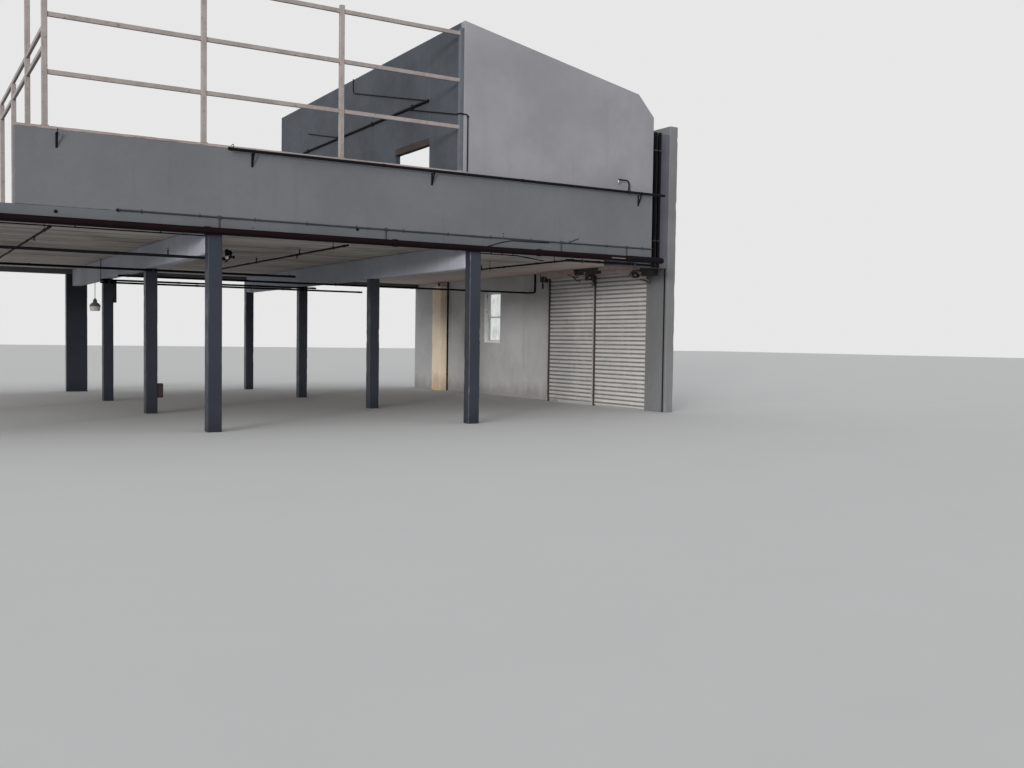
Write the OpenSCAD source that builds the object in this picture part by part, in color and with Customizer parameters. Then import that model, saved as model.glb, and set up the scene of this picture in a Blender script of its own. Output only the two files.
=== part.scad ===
// Mezzanine floor of a factory hall: a raised concrete floor on columns and
// beams, with a solid parapet, a tall open rail frame, the front and side of
// the room on its right-hand end, and the side wall with two roller shutters
// that carries that end. X runs along the front, Y to the back and Z up, in
// millimetres. The origin is on the ground, under the middle of the part.

/* [Column grid] */
// Distance between the column lines, along the front
bay_w = 4830; // [4200:10:5400]
// Clear distance from the last column line to the side wall
end_bay_w = 5460; // [4800:10:6000]
// Distance between the column rows, from front to back
bay_d = 4590; // [4000:10:5200]
// Number of bays from front to back
bays_deep = 3; // [3:1:5]

/* [Columns] */
// Width of a column, seen from the front
column_w = 230; // [180:5:300]
// Depth of a column, and of the edge beams above the columns
column_d = 200; // [160:5:260]
// Width of the wide pier at the back
wide_pier_w = 540; // [400:10:700]

/* [Floor] */
// Height of the floor above the ground
floor_z = 3475; // [3200:5:3800]
// Thickness of the floor slab
slab_t = 120; // [100:5:180]
// Depth of the cross beams under the slab
beam_h = 455; // [350:5:550]
// Height of the edge beams
edge_beam_h = 255; // [200:5:300]
// Width of the notch at the front right corner
notch_w = 1420; // [1200:10:1700]
// Depth of the notch at the front right corner
notch_d = 1190; // [900:10:1500]

/* [Parapet and room] */
// Height of the parapet above the floor
parapet_h = 1140; // [900:5:1300]
// Thickness of the parapet and of the room's front wall
parapet_t = 150; // [100:5:180]
// Length of open floor edge to the left of the parapet
open_edge_w = 2000; // [1600:10:2300]
// Height of the cap on the parapet
cap_h = 45; // [20:5:60]
// Distance from the parapet's left end to the room's corner
room_x = 7490; // [7000:10:8200]
// Height of the room's walls above the floor, at their highest
room_h = 3925; // [3600:5:4200]
// Drop of the front wall's top for each metre along it
roof_fall = 180; // [100:5:220]
// Width of the sloping cut at the front wall's top right corner
eaves_cut_w = 400; // [200:10:600]
// Height of the sloping cut at the front wall's top right corner
eaves_cut_h = 420; // [200:10:600]
// Thickness of the room's side partition
partition_t = 120; // [90:5:160]
// Length of the room's side partition, from front to back
partition_l = 10000; // [8000:50:11000]
// Length of partition between the front wall and the doorway
doorway_y = 1260; // [800:10:1600]
// Width of the doorway
doorway_w = 1560; // [900:10:1800]
// Height of the doorway
doorway_h = 1890; // [1800:5:2100]
// Height of the lintel over the doorway
lintel_h = 120; // [60:5:160]

/* [Rail frame] */
// Width of a rail post
post_w = 80; // [50:5:90]
// Height of a rail
rail_h = 70; // [40:5:75]
// Depth of a rail, from front to back
rail_d = 50; // [30:5:60]
// Distance from the parapet's end to the first post's middle
first_post_x = 420; // [200:10:600]
// Distance between rail posts
post_gap = 2350; // [2000:10:2400]
// Height of the lowest rail above the cap
rail_z = 805; // [600:5:900]
// Distance between rails, up the frame
rail_gap = 850; // [700:5:900]
// Distance between the posts of the return frame
return_post_gap = 2050; // [1500:10:2600]

/* [Side wall and shutters] */
// Thickness of the side wall
wall_t = 230; // [200:5:300]
// Width of the pier at the wall's front end
pier_w = 670; // [500:10:900]
// Height of the front pier above the floor
pier_rise = 2900; // [2000:10:3200]
// Width of a shutter curtain
curtain_w = 1950; // [1800:10:2200]
// Height of the lintel over the shutters
shutter_lintel_h = 145; // [100:5:250]
// Width of a shutter guide
guide_w = 75; // [50:5:100]
// Depth of a shutter guide
guide_d = 90; // [70:5:120]
// Thickness of a shutter curtain over its ribs
curtain_t = 40; // [25:1:50]
// Height of one shutter rib
slat_h = 107; // [90:1:130]
// Diameter of the shutter rolls
roll_dia = 160; // [120:5:200]
// Gap under the front shutter
front_shutter_gap = 35; // [0:5:80]
// Gap under the rear shutter
rear_shutter_gap = 55; // [0:5:80]
// Clearance above and below the shutter rolls
roll_gap = 12; // [8:1:20]
// Thickness of the plates that hold the rolls
bracket_t = 12; // [8:1:16]
// Distance from the shutter opening to the window
window_y = 2660; // [2200:10:2900]
// Width of the window
window_w = 910; // [600:10:1200]
// Height of the window's sill
sill_z = 1520; // [900:10:1600]
// Height of the window
window_h = 1430; // [1000:10:1500]
// Width of a window frame bar
frame_w = 50; // [35:5:70]
// Width of the pier on the side wall
wall_pier_w = 570; // [500:10:1000]
// How far the side wall's pier stands in
wall_pier_d = 260; // [150:10:300]

/* [Pipes] */
// Diameter of the red main pipe
main_dia = 115; // [90:1:140]
// Diameter of the pipe along the parapet's top
top_pipe_dia = 52; // [30:1:60]
// Diameter of the conduit along the floor's edge
conduit_dia = 26; // [20:1:32]
// Diameter of the pipes under the beams
hung_pipe_dia = 50; // [40:1:70]
// Diameter of the sprinkler pipes under the floor
sprinkler_dia = 40; // [30:1:50]
// Distance from the floor's underside to the middle of the sprinkler pipes
sprinkler_drop = 155; // [80:5:200]
// How far a joint's rim stands out round the main pipe
joint_rim = 10; // [6:1:11]
// Distance from the main pipe, and from the pipes under the beams, to the face that holds them
pipe_gap = 12; // [12:1:20]
// Distance from the front face to the middle of the pipe along the parapet's top
top_pipe_out = 110; // [60:5:115]
// Height of a bracket under the pipe along the parapet's top
bracket_h = 220; // [150:5:260]
// Diameter of the pipe that runs level on the partition
partition_pipe_dia = 50; // [30:1:60]
// Diameter of the thin pipes that branch off it
branch_pipe_dia = 22; // [16:1:26]
// Diameter of the upright pipes on the side wall
riser_dia = 50; // [30:1:50]
// Diameter of the upright pipes in the floor's notch
corner_pipe_dia = 80; // [50:5:100]
// Clearance between two pieces of one node that rest on each other
seat_gap = 0.3; // [0.1:0.1:0.5]
// How far the pipes run past the floor's notch
pipe_overrun = 230; // [100:10:400]
// Thickness of a pipe strap or bracket
strap_t = 8; // [5:1:12]

/* [Fittings] */
// Diameter of the lamp's shade
shade_dia = 280; // [260:5:420]
// Height of the lamp's shade
shade_h = 240; // [180:5:280]
// Height of the rim of the lamp's shade above the ground
lamp_z = 2200; // [2000:10:2600]
// Height of the junction box
junction_h = 540; // [400:10:600]
// Height of the call point box
call_point_h = 290; // [230:10:400]

/* [Hidden] */
$fn = 32;

// Overall places, worked out from the grid
wall_x_from_left = column_w / 2 + 2 * bay_w + column_w / 2 + end_bay_w;
part_w = wall_x_from_left + wall_t;
floor_d = bays_deep * bay_d + column_d;
joint_dia = main_dia + 2 * joint_rim;
front_reach = pipe_gap + main_dia / 2 + joint_dia / 2;
left_x = -part_w / 2;
right_x = part_w / 2;
wall_x = right_x - wall_t;
front_y = -(floor_d + front_reach) / 2 + front_reach;
rear_y = front_y + floor_d;
line_x = [for (i = [0:2]) left_x + column_w / 2 + i * bay_w];
row_y = [for (i = [0:bays_deep]) front_y + column_d / 2 + i * bay_d];
soffit_z = floor_z - slab_t;
beam_z = soffit_z - beam_h;
edge_z = floor_z - edge_beam_h;
parapet_z = floor_z + parapet_h;
cap_z = parapet_z + cap_h;
notch_x = wall_x - notch_w;
notch_y = front_y + notch_d;
pier_y = notch_y + pier_w;
parapet_x = left_x + open_edge_w;
corner_x = parapet_x + room_x;
room_z = floor_z + room_h;
eaves_run = notch_x - corner_x;
eaves_z = room_z - roof_fall * eaves_run / 1000;
end_wall_z = eaves_z - eaves_cut_h;

// Places of the shutters, from the front pier to the back
shutter_h = soffit_z - shutter_lintel_h;
opening_w = 2 * curtain_w + guide_w;
opening_end_y = pier_y + opening_w;
curtain_y = [for (i = [0:1]) pier_y + i * (curtain_w + guide_w)];
guide_y = [for (i = [0:2]) pier_y - guide_w + i * (curtain_w + guide_w)];
curtain_x = wall_x - guide_d / 2;
roll_z = soffit_z - roll_dia / 2 - roll_gap;
roll_x = curtain_x - curtain_t / 2 - roll_dia / 2 - seat_gap;
roll_low_z = roll_z - roll_dia / 2 - roll_gap;

// Places of the rail frame
post_inset = 20;
post_y = front_y + post_inset;
post_x = [for (i = [0:2]) parapet_x + first_post_x + i * post_gap];
corner_post_x = corner_x - post_w / 2;
rail_top_z = cap_z + rail_z + 2 * rail_gap;
post_tip = 60;
post_top_z = rail_top_z + rail_h / 2 + post_tip;

// Places of the pipes
main_y = front_y - pipe_gap - main_dia / 2;
main_pipe_drop = 20;
main_z = edge_z + main_dia / 2 - main_pipe_drop;
top_pipe_y = front_y - top_pipe_out;
top_pipe_z = parapet_z - top_pipe_dia / 2;
top_pipe_start = 3140;
top_pipe_x = parapet_x + top_pipe_start;
pipe_end_x = notch_x + pipe_overrun;
conduit_rise = 15;
conduit_start = 1450;
conduit_y = front_y - conduit_dia / 2;
conduit_z = floor_z + conduit_rise;
conduit_x = parapet_x + conduit_start;

// Places of the pipes under the beams
hung_pipe_inset = 20;
hung_pipe_lead = 200;
hung_pipe_tail = 300;
long_pipe_tail = 2940;
pipe_past_column = 110;
front_pipe_past_row = 400;
middle_pipe_past_row = 2240;
hung_pipe_z = beam_z - pipe_gap - hung_pipe_dia / 2;
hung_pipe_y = [
  row_y[0] + front_pipe_past_row,
  row_y[1] - column_d / 2 - pipe_past_column,
  row_y[1] + middle_pipe_past_row,
  row_y[2] - column_d / 2 - pipe_past_column
];
hung_pipe_start_x = [
  left_x + hung_pipe_inset,
  left_x + hung_pipe_inset,
  line_x[1] - hung_pipe_lead,
  line_x[1] - hung_pipe_lead
];
hung_pipe_end_x = [
  line_x[1] + hung_pipe_tail,
  line_x[1] + long_pipe_tail,
  wall_x - riser_dia,
  line_x[2] + hung_pipe_tail
];
hung_pipe_first_line = [0, 0, 1, 1];
hung_pipe_last_line = [1, 1, 2, 2];
under_pipe_gap = 6;
under_pipe_tail = 1600;
under_pipe_end_x = line_x[2] + under_pipe_tail;
under_pipe_z = hung_pipe_z - hung_pipe_dia - under_pipe_gap;
hanger_pipe_z = [[hung_pipe_z], [hung_pipe_z], [hung_pipe_z], [hung_pipe_z, under_pipe_z]];
low_pipe_start = 2065;
low_pipe_inset = 60;
low_pipe_drop = 60;
low_pipe_x = line_x[2] + low_pipe_start;
low_pipe_y = front_y + low_pipe_inset;
low_pipe_z = edge_z - low_pipe_drop;

// Places of the sprinkler pipes between the cross beams
sprinkler_z = soffit_z - sprinkler_drop;
sprinkler_inset = 100;
sprinkler_from_line = 2415;
sprinkler_rows = [2, 2, 1];
sprinkler_past_row = -340;
sprinkler_start_y = front_y + column_d + sprinkler_inset;
sprinkler_end_y = [for (row = sprinkler_rows) row_y[row] + sprinkler_past_row];
sprinkler_x = [for (x = line_x) x + sprinkler_from_line];

// A box from one corner to the opposite one
module block(low, high) {
  translate(low) cube(high - low);
}

// A round bar from a point along X, Y or Z
module bar_x(from, to_x, dia) {
  translate(from) rotate([0, 90, 0]) cylinder(d = dia, h = to_x - from[0]);
}
module bar_y(from, to_y, dia) {
  translate(from) rotate([-90, 0, 0]) cylinder(d = dia, h = to_y - from[1]);
}
module bar_z(from, to_z, dia) {
  translate(from) cylinder(d = dia, h = to_z - from[2]);
}

// A quarter bend of pipe in the XZ plane, round a centre
module bend(centre, radius, dia, start, turn) {
  translate(centre)
    rotate([90, 0, 0])
      rotate([0, 0, start])
        rotate_extrude(angle = turn)
          translate([radius, 0])
            circle(d = dia);
}

// Floor

module floor_slab() {
  color("gainsboro")
    translate([0, 0, soffit_z])
      linear_extrude(slab_t)
        difference() {
          translate([left_x, front_y + column_d])
            square([part_w, floor_d - column_d]);
          translate([notch_x - column_d, front_y])
            square([notch_w + column_d + wall_t, notch_d + column_d]);
          translate([wall_x, front_y])
            square([wall_t, notch_d + pier_w]);
          translate([left_x, rear_y - column_d])
            square([part_w - wall_t, column_d]);
        }
}

module front_edge_beam() {
  color("lightslategray")
    block([left_x, front_y, edge_z], [notch_x, front_y + column_d, floor_z]);
}

module corner_edge_beam() {
  color("lightslategray")
    translate([0, 0, edge_z])
      linear_extrude(floor_z - edge_z)
        union() {
          translate([notch_x - column_d, front_y + column_d])
            square([column_d, notch_d - column_d]);
          translate([notch_x - column_d, notch_y])
            square([notch_w + column_d, column_d]);
        }
}

module rear_edge_beam() {
  color("lightslategray")
    block([left_x, rear_y - column_d, edge_z], [wall_x, rear_y, floor_z]);
}

module cross_beams() {
  color("lightsteelblue")
    for (x = line_x)
      block(
        [x - column_w / 2, front_y + column_d, beam_z],
        [x + column_w / 2, rear_y - column_d, soffit_z]
      );
}

// Columns and walls

module column(x, row, w = column_w) {
  top = (row == 0 || row == bays_deep) ? edge_z : beam_z;
  block(
    [x - w / 2, row_y[row] - column_d / 2, 0],
    [x + w / 2, row_y[row] + column_d / 2, top]
  );
}

module left_columns() {
  color("slategray")
    for (row = [0:bays_deep]) column(line_x[0], row);
}

module middle_columns() {
  color("slategray")
    for (row = [0:bays_deep - 1]) column(line_x[1], row);
}

module room_columns() {
  color("slategray")
    for (row = [0:bays_deep]) column(line_x[2], row);
}

module wide_pier() {
  color("slategray")
    column(line_x[1], bays_deep, wide_pier_w);
}

module corner_pier() {
  color("lightslategray")
    block([wall_x, notch_y, 0], [right_x, pier_y, floor_z + pier_rise]);
}

module side_wall() {
  color("whitesmoke")
    difference() {
      block([wall_x, opening_end_y, 0], [right_x, rear_y, soffit_z]);
      block(
        [wall_x - 1, opening_end_y + window_y, sill_z],
        [right_x + 1, opening_end_y + window_y + window_w, sill_z + window_h]
      );
    }
}

module shutter_lintel() {
  color("dimgray")
    block([wall_x, pier_y, shutter_h], [right_x, opening_end_y, soffit_z]);
}

window_x = wall_x + wall_t / 2;
window_start_y = opening_end_y + window_y;

module window_frame() {
  color("whitesmoke")
    difference() {
      block(
        [window_x - frame_w / 2, window_start_y, sill_z],
        [window_x + frame_w / 2, window_start_y + window_w, sill_z + window_h]
      );
      for (pane = [0:1])
        block(
          [window_x - frame_w, window_start_y + frame_w, pane_z(pane)],
          [window_x + frame_w, window_start_y + window_w - frame_w, pane_z(pane) + pane_h]
        );
    }
}

pane_h = (window_h - 3 * frame_w) / 2;
function pane_z(pane) = sill_z + frame_w + pane * (pane_h + frame_w);
glass_t = 6;

module window_glass() {
  color("aliceblue", 0.4)
    for (pane = [0:1])
      block(
        [window_x - glass_t / 2, window_start_y + frame_w, pane_z(pane)],
        [window_x + glass_t / 2, window_start_y + window_w - frame_w, pane_z(pane) + pane_h]
      );
}

wall_pier_from_rear = 2310;
wall_pier_y = rear_y - wall_pier_from_rear;

module wall_pier() {
  color("wheat")
    block(
      [wall_x - wall_pier_d, wall_pier_y, 0],
      [wall_x, wall_pier_y + wall_pier_w, edge_z]
    );
}

// Roller shutters

shutter_gaps = [front_shutter_gap, rear_shutter_gap];

module curtain(y, gap) {
  curtain_h = shutter_h - gap;
  slat_count = floor(curtain_h / slat_h);
  slat_step = curtain_h / slat_count;
  half = curtain_t / 2;
  translate([curtain_x, y, gap])
    rotate([0, -90, -90])
      linear_extrude(curtain_w)
        polygon(concat(
          [for (i = [0:slat_count - 1]) each [
            [i * slat_step, 0],
            [(i + 0.35) * slat_step, half],
            [(i + 0.75) * slat_step, half]
          ]],
          [[curtain_h, 0], [curtain_h, -half], [0, -half]]
        ));
}

module roller_shutters() {
  color("gainsboro")
    for (i = [0:1]) curtain(curtain_y[i], shutter_gaps[i]);
}

module shutter_guides() {
  color("silver")
    for (y = guide_y)
      block([wall_x - guide_d, y, 0], [wall_x, y + guide_w, roll_low_z]);
}

module shutter_rolls() {
  color("silver")
    for (y = curtain_y)
      bar_y([roll_x, y, roll_z], y + curtain_w, roll_dia);
}

module shutter_brackets() {
  color("dimgray")
    for (y = curtain_y)
      for (plate_y = [y - bracket_t, y + curtain_w])
        block(
          [roll_x - roll_dia / 2, plate_y, roll_low_z],
          [wall_x, plate_y + bracket_t, soffit_z]
        );
}

// Parapet and room

module front_parapet() {
  color("lightslategray")
    block([parapet_x, front_y, floor_z], [notch_x, front_y + parapet_t, parapet_z]);
}

module parapet_cap() {
  color("lightgray")
    block([parapet_x, front_y, parapet_z], [corner_x, front_y + parapet_t, cap_z]);
}

module room_front_wall() {
  color("lightgray")
    translate([0, front_y + parapet_t, 0])
      rotate([90, 0, 0])
        linear_extrude(parapet_t)
          polygon([
            [corner_x, parapet_z],
            [notch_x, parapet_z],
            [notch_x, end_wall_z],
            [notch_x - eaves_cut_w, eaves_z],
            [corner_x, room_z]
          ]);
}

module room_notch_wall() {
  color("lightgray")
    block(
      [notch_x - parapet_t, front_y + parapet_t, floor_z],
      [notch_x, notch_y + parapet_t, end_wall_z]
    );
}

module room_end_wall() {
  color("lightgray")
    block(
      [notch_x, notch_y, floor_z],
      [wall_x, notch_y + parapet_t, end_wall_z]
    );
}

partition_y = front_y + parapet_t;
doorway_start_y = partition_y + doorway_y;
doorway_end_y = doorway_start_y + doorway_w;

module partition_panel(start_y, end_y, low_z) {
  color("lightsteelblue")
    block([corner_x, start_y, low_z], [corner_x + partition_t, end_y, room_z]);
}

module partition_front_panel() {
  partition_panel(partition_y, doorway_start_y, floor_z);
}

module partition_over_doorway() {
  partition_panel(doorway_start_y, doorway_end_y, floor_z + doorway_h + lintel_h);
}

module partition_rear_panel() {
  partition_panel(doorway_end_y, partition_y + partition_l, floor_z);
}

module doorway_lintel() {
  color("saddlebrown")
    block(
      [corner_x, doorway_start_y, floor_z + doorway_h],
      [corner_x + partition_t, doorway_end_y, floor_z + doorway_h + lintel_h]
    );
}

// Rail frame

module rail_post(x, y, low_z, high_z) {
  block([x - post_w / 2, y, low_z], [x + post_w / 2, y + post_w, high_z]);
}

module guard_rail_posts() {
  color("lightgray")
    for (x = concat(post_x, [corner_post_x])) rail_post(x, post_y, cap_z, post_top_z);
}

module guard_rails() {
  starts = [for (x = post_x) x + post_w / 2];
  ends = [for (x = [post_x[1], post_x[2], corner_post_x]) x - post_w / 2];
  color("lightgray")
    for (level = [0:2])
      for (i = [0:2])
        block(
          [starts[i], post_y + (post_w - rail_d) / 2, rail_level(level) - rail_h / 2],
          [ends[i], post_y + (post_w + rail_d) / 2, rail_level(level) + rail_h / 2]
        );
}

function rail_level(level) = cap_z + rail_z + level * rail_gap;

return_posts = 3;
return_rail_rise = 2700;
return_rail_z = floor_z + return_rail_rise;
return_rail_gap = 300;
return_post_y = [for (i = [0:return_posts]) post_y + i * return_post_gap];

// The first post of the return frame is as tall as the front posts
module return_rail_posts() {
  color("lightgray")
    for (i = [1:return_posts])
      rail_post(
        post_x[0], return_post_y[i], floor_z,
        i > 1 ? return_rail_z - rail_h : post_top_z
      );
}

module return_rails() {
  low_z = return_rail_z - return_rail_gap;
  tall_y = return_post_y[1];
  color("lightgray") {
    for (span = [[post_y + post_w, tall_y], [tall_y + post_w, return_post_y[return_posts] + post_w]])
      block(
        [post_x[0] - rail_d / 2, span[0], return_rail_z - rail_h],
        [post_x[0] + rail_d / 2, span[1], return_rail_z]
      );
    for (i = [1:return_posts])
      block(
        [post_x[0] - rail_d / 2, return_post_y[i - 1] + post_w, low_z - rail_h],
        [post_x[0] + rail_d / 2, return_post_y[i], low_z]
      );
  }
}

// Pipes on the front

left_joint = 785;
column_joint = 200;
middle_joint = 3100;
room_joint = 1300;
joint_x = [
  line_x[0] + left_joint,
  line_x[1] - column_joint,
  line_x[1] + middle_joint,
  line_x[2] + room_joint
];
joint_w = 110;
strap_inset = 20;

module main_pipe() {
  color("maroon")
    bar_x([left_x, main_y, main_z], pipe_end_x, main_dia);
}

module main_pipe_joints() {
  color("maroon")
    for (x = joint_x)
      difference() {
        union() {
          bar_x([x, main_y, main_z], x + joint_w, joint_dia);
          block(
            [x + strap_inset, main_y, main_z - strap_t],
            [x + joint_w - strap_inset, front_y, main_z + strap_t]
          );
        }
        bar_x([x - 1, main_y, main_z], x + joint_w + 1, main_dia);
      }
}

module top_pipe() {
  color("black")
    bar_x([top_pipe_x, top_pipe_y, top_pipe_z], pipe_end_x, top_pipe_dia);
}

lone_bracket = 560;
end_bracket = 390;
corner_bracket = 660;
bracket_x = [
  parapet_x + lone_bracket,
  top_pipe_x + end_bracket,
  corner_x - corner_bracket,
  notch_x - end_bracket
];
bracket_w = 34;
strut_t = 24;

module top_pipe_brackets() {
  low = bracket_h - strap_t;
  color("black")
    for (x = bracket_x)
      translate([x, front_y, top_pipe_z - top_pipe_dia / 2])
        rotate([90, 0, 90])
          linear_extrude(bracket_w)
            polygon([
              [0, 0], [-top_pipe_out, 0], [-top_pipe_out, -strap_t], [0, -bracket_h],
              [0, strut_t - bracket_h], [strut_t * top_pipe_out / low - top_pipe_out, -strap_t],
              [0, -strap_t]
            ]);
}

gooseneck_from_notch = 700;
gooseneck_x = notch_x - gooseneck_from_notch;
gooseneck_dia = 36;
gooseneck_h = 130;
gooseneck_r = 70;
gooseneck_arm = 200;

module gooseneck() {
  top_z = top_pipe_z + top_pipe_dia / 2;
  color("black")
    union() {
      bar_z([gooseneck_x, top_pipe_y, top_z], top_z + gooseneck_h, gooseneck_dia);
      bend(
        [gooseneck_x - gooseneck_r, top_pipe_y, top_z + gooseneck_h],
        gooseneck_r, gooseneck_dia, 0, 90
      );
      bar_x(
        [gooseneck_x - gooseneck_r - gooseneck_arm, top_pipe_y, top_z + gooseneck_h + gooseneck_r],
        gooseneck_x - gooseneck_r, gooseneck_dia
      );
    }
}

drop_dia = 20;
middle_drops = [60, 3000];
room_drops = [1900, 3500];
drop_x = concat([for (d = middle_drops) line_x[1] + d], [for (d = room_drops) line_x[2] + d]);

module conduit() {
  color("slategray") {
    bar_x([conduit_x, conduit_y, conduit_z], notch_x, conduit_dia);
    for (x = drop_x)
      bar_z([x, conduit_y, main_z + main_dia / 2], conduit_z - conduit_dia / 2 - seat_gap, drop_dia);
  }
}

// Pipes under the floor

module hung_pipes() {
  color("black") {
    for (i = [0:3])
      bar_x([hung_pipe_start_x[i], hung_pipe_y[i], hung_pipe_z], hung_pipe_end_x[i], hung_pipe_dia);
    bar_x([hung_pipe_start_x[3], hung_pipe_y[3], under_pipe_z], under_pipe_end_x, hung_pipe_dia);
    bar_x([low_pipe_x, low_pipe_y, low_pipe_z], pipe_end_x, hung_pipe_dia);
    for (i = [0:2])
      bar_y([sprinkler_x[i], sprinkler_start_y, sprinkler_z], sprinkler_end_y[i], sprinkler_dia);
  }
}

hanger_w = 40;
sprinkler_hanger_inset = 700;
low_hanger_inset = 400;

// A hanger round one pipe or two, up to the face that holds it
module pipe_hanger(x, y, pipe_z, top_z) {
  reach = hung_pipe_dia / 2 + strap_t;
  difference() {
    block([x - hanger_w / 2, y - reach, min(pipe_z) - reach], [x + hanger_w / 2, y + reach, top_z]);
    for (z = pipe_z)
      bar_x([x - hanger_w, y, z], x + hanger_w, hung_pipe_dia);
  }
}

module sprinkler_hanger(x, y) {
  reach = sprinkler_dia / 2 + strap_t;
  difference() {
    block([x - reach, y - hanger_w / 2, sprinkler_z - reach], [x + reach, y + hanger_w / 2, soffit_z]);
    bar_y([x, y - hanger_w, sprinkler_z], y + hanger_w, sprinkler_dia);
  }
}

module pipe_hangers() {
  color("dimgray") {
    for (i = [0:3])
      for (line = [hung_pipe_first_line[i]:hung_pipe_last_line[i]])
        pipe_hanger(line_x[line], hung_pipe_y[i], hanger_pipe_z[i], beam_z);
    for (x = [low_pipe_x + low_hanger_inset, notch_x - low_hanger_inset])
      pipe_hanger(x, low_pipe_y, [low_pipe_z], edge_z);
    for (i = [0:2])
      for (y = [sprinkler_start_y + sprinkler_hanger_inset, sprinkler_end_y[i] - sprinkler_hanger_inset])
        sprinkler_hanger(sprinkler_x[i], y);
  }
}

partition_pipe_rise = 2737;
partition_pipe_start = 1262;
partition_pipe_l = 6950;
branch_inset = 30;
rising_pipe_run = 3750;
rising_pipe_h = 870;
falling_pipe_start = 970;
falling_pipe_h = 500;
rear_pipe_start = 4560;
rear_pipe_run = 2100;
rear_pipe_h = 430;
partition_pipe_z = floor_z + partition_pipe_rise;
partition_pipe_y = partition_y + partition_pipe_start;
falling_pipe_y = partition_pipe_y + falling_pipe_start;
rear_pipe_y = partition_pipe_y + rear_pipe_start;

// A thin pipe on the partition between two places, each given as Y and Z
module branch_pipe(from, to) {
  run = to - from;
  translate([corner_x - partition_pipe_dia / 2, from[0], from[1]])
    rotate([-atan2(run[0], run[1]), 0, 0])
      cylinder(d = branch_pipe_dia, h = norm(run));
}

module partition_pipes() {
  x = corner_x - partition_pipe_dia / 2;
  z = partition_pipe_z;
  rise_y = partition_pipe_y + branch_inset;
  corner_y = rise_y + rising_pipe_run;
  post_back_y = post_y + post_w;
  color("black")
    union() {
      bar_y([x, partition_pipe_y, z], partition_pipe_y + partition_pipe_l, partition_pipe_dia);
      branch_pipe([rise_y, z], [corner_y, z + rising_pipe_h]);
      branch_pipe([corner_y, z + rising_pipe_h - branch_pipe_dia / 2], [corner_y, room_z]);
      branch_pipe([falling_pipe_y, z], [post_back_y + branch_inset, z - falling_pipe_h]);
      branch_pipe([rear_pipe_y, z], [rear_pipe_y + rear_pipe_run, z + rear_pipe_h]);
    }
}

riser_offset = 285;
riser_y = hung_pipe_y[2] - riser_offset;
corner_pipes = [440, 320];
corner_pipe_x = [for (place = corner_pipes) wall_x - place];
pier_pipe_y = [wall_pier_y - riser_dia / 2, wall_pier_y + wall_pier_w + riser_dia / 2];

module wall_pipes() {
  color("dimgray") {
    union() {
      bar_z([wall_x - riser_dia / 2, riser_y, hung_pipe_z - riser_dia / 2], soffit_z, riser_dia);
      bar_y([wall_x - riser_dia / 2, riser_y, hung_pipe_z], hung_pipe_y[2] + riser_dia / 2, riser_dia);
    }
    for (y = pier_pipe_y)
      bar_z([wall_x - riser_dia / 2, y, 0], soffit_z, riser_dia);
    for (x = corner_pipe_x)
      bar_z([x, notch_y - corner_pipe_dia / 2, edge_z], end_wall_z, corner_pipe_dia);
  }
}

// Fittings

lamp_from_line = 220;
lamp_past_row = 3000;
lamp_x = line_x[1] + lamp_from_line;
lamp_y = row_y[2] + lamp_past_row;
lamp_stem_dia = 20;
shade_t = 3;
shade_top_dia = 90;
shade_waist_dia = 240;
shade_waist_z = 108;

module shade_lamp() {
  color("dimgray")
    union() {
      translate([lamp_x, lamp_y, lamp_z])
        rotate_extrude()
          polygon([
            [shade_dia / 2 - shade_t, 0],
            [shade_dia / 2, 0],
            [shade_waist_dia / 2, shade_waist_z],
            [shade_top_dia / 2, shade_h],
            [0, shade_h],
            [0, shade_h - shade_t],
            [shade_top_dia / 2 - shade_t, shade_h - shade_t],
            [shade_waist_dia / 2 - shade_t, shade_waist_z]
          ]);
      bar_z([lamp_x, lamp_y, lamp_z + shade_h - shade_t], soffit_z, lamp_stem_dia);
    }
}

junction_w = 120;
junction_d = 80;
junction_drop = 20;

module junction_box() {
  x = line_x[1] + column_w / 2;
  color("dimgray")
    block(
      [x, row_y[2] - junction_w / 2, beam_z - junction_drop - junction_h],
      [x + junction_d, row_y[2] + junction_w / 2, beam_z - junction_drop]
    );
}

call_point_w = 140;
call_point_d = 120;
call_point_z = 315;

module call_point_box() {
  x = line_x[1] + column_w / 2;
  color("brown")
    block(
      [x, row_y[1] - call_point_w / 2, call_point_z],
      [x + call_point_d, row_y[1] + call_point_w / 2, call_point_z + call_point_h]
    );
}

floor_slab();
front_edge_beam();
corner_edge_beam();
rear_edge_beam();
cross_beams();
left_columns();
middle_columns();
room_columns();
wide_pier();
corner_pier();
side_wall();
shutter_lintel();
window_frame();
window_glass();
wall_pier();
roller_shutters();
shutter_guides();
shutter_rolls();
shutter_brackets();
front_parapet();
parapet_cap();
room_front_wall();
room_notch_wall();
room_end_wall();
partition_front_panel();
partition_over_doorway();
partition_rear_panel();
doorway_lintel();
guard_rail_posts();
guard_rails();
return_rail_posts();
return_rails();
main_pipe();
main_pipe_joints();
top_pipe();
top_pipe_brackets();
gooseneck();
conduit();
hung_pipes();
pipe_hangers();
partition_pipes();
wall_pipes();
shade_lamp();
junction_box();
call_point_box();
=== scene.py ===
"""The mezzanine floor of a factory hall, dressed for the final render.

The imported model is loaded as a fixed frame. Each piece is built in its place
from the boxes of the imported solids, in metres, with X along the front, Y to
the back and Z up.
"""

import math
import random

import bmesh
import bpy
from mathutils import Matrix, Vector


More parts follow.
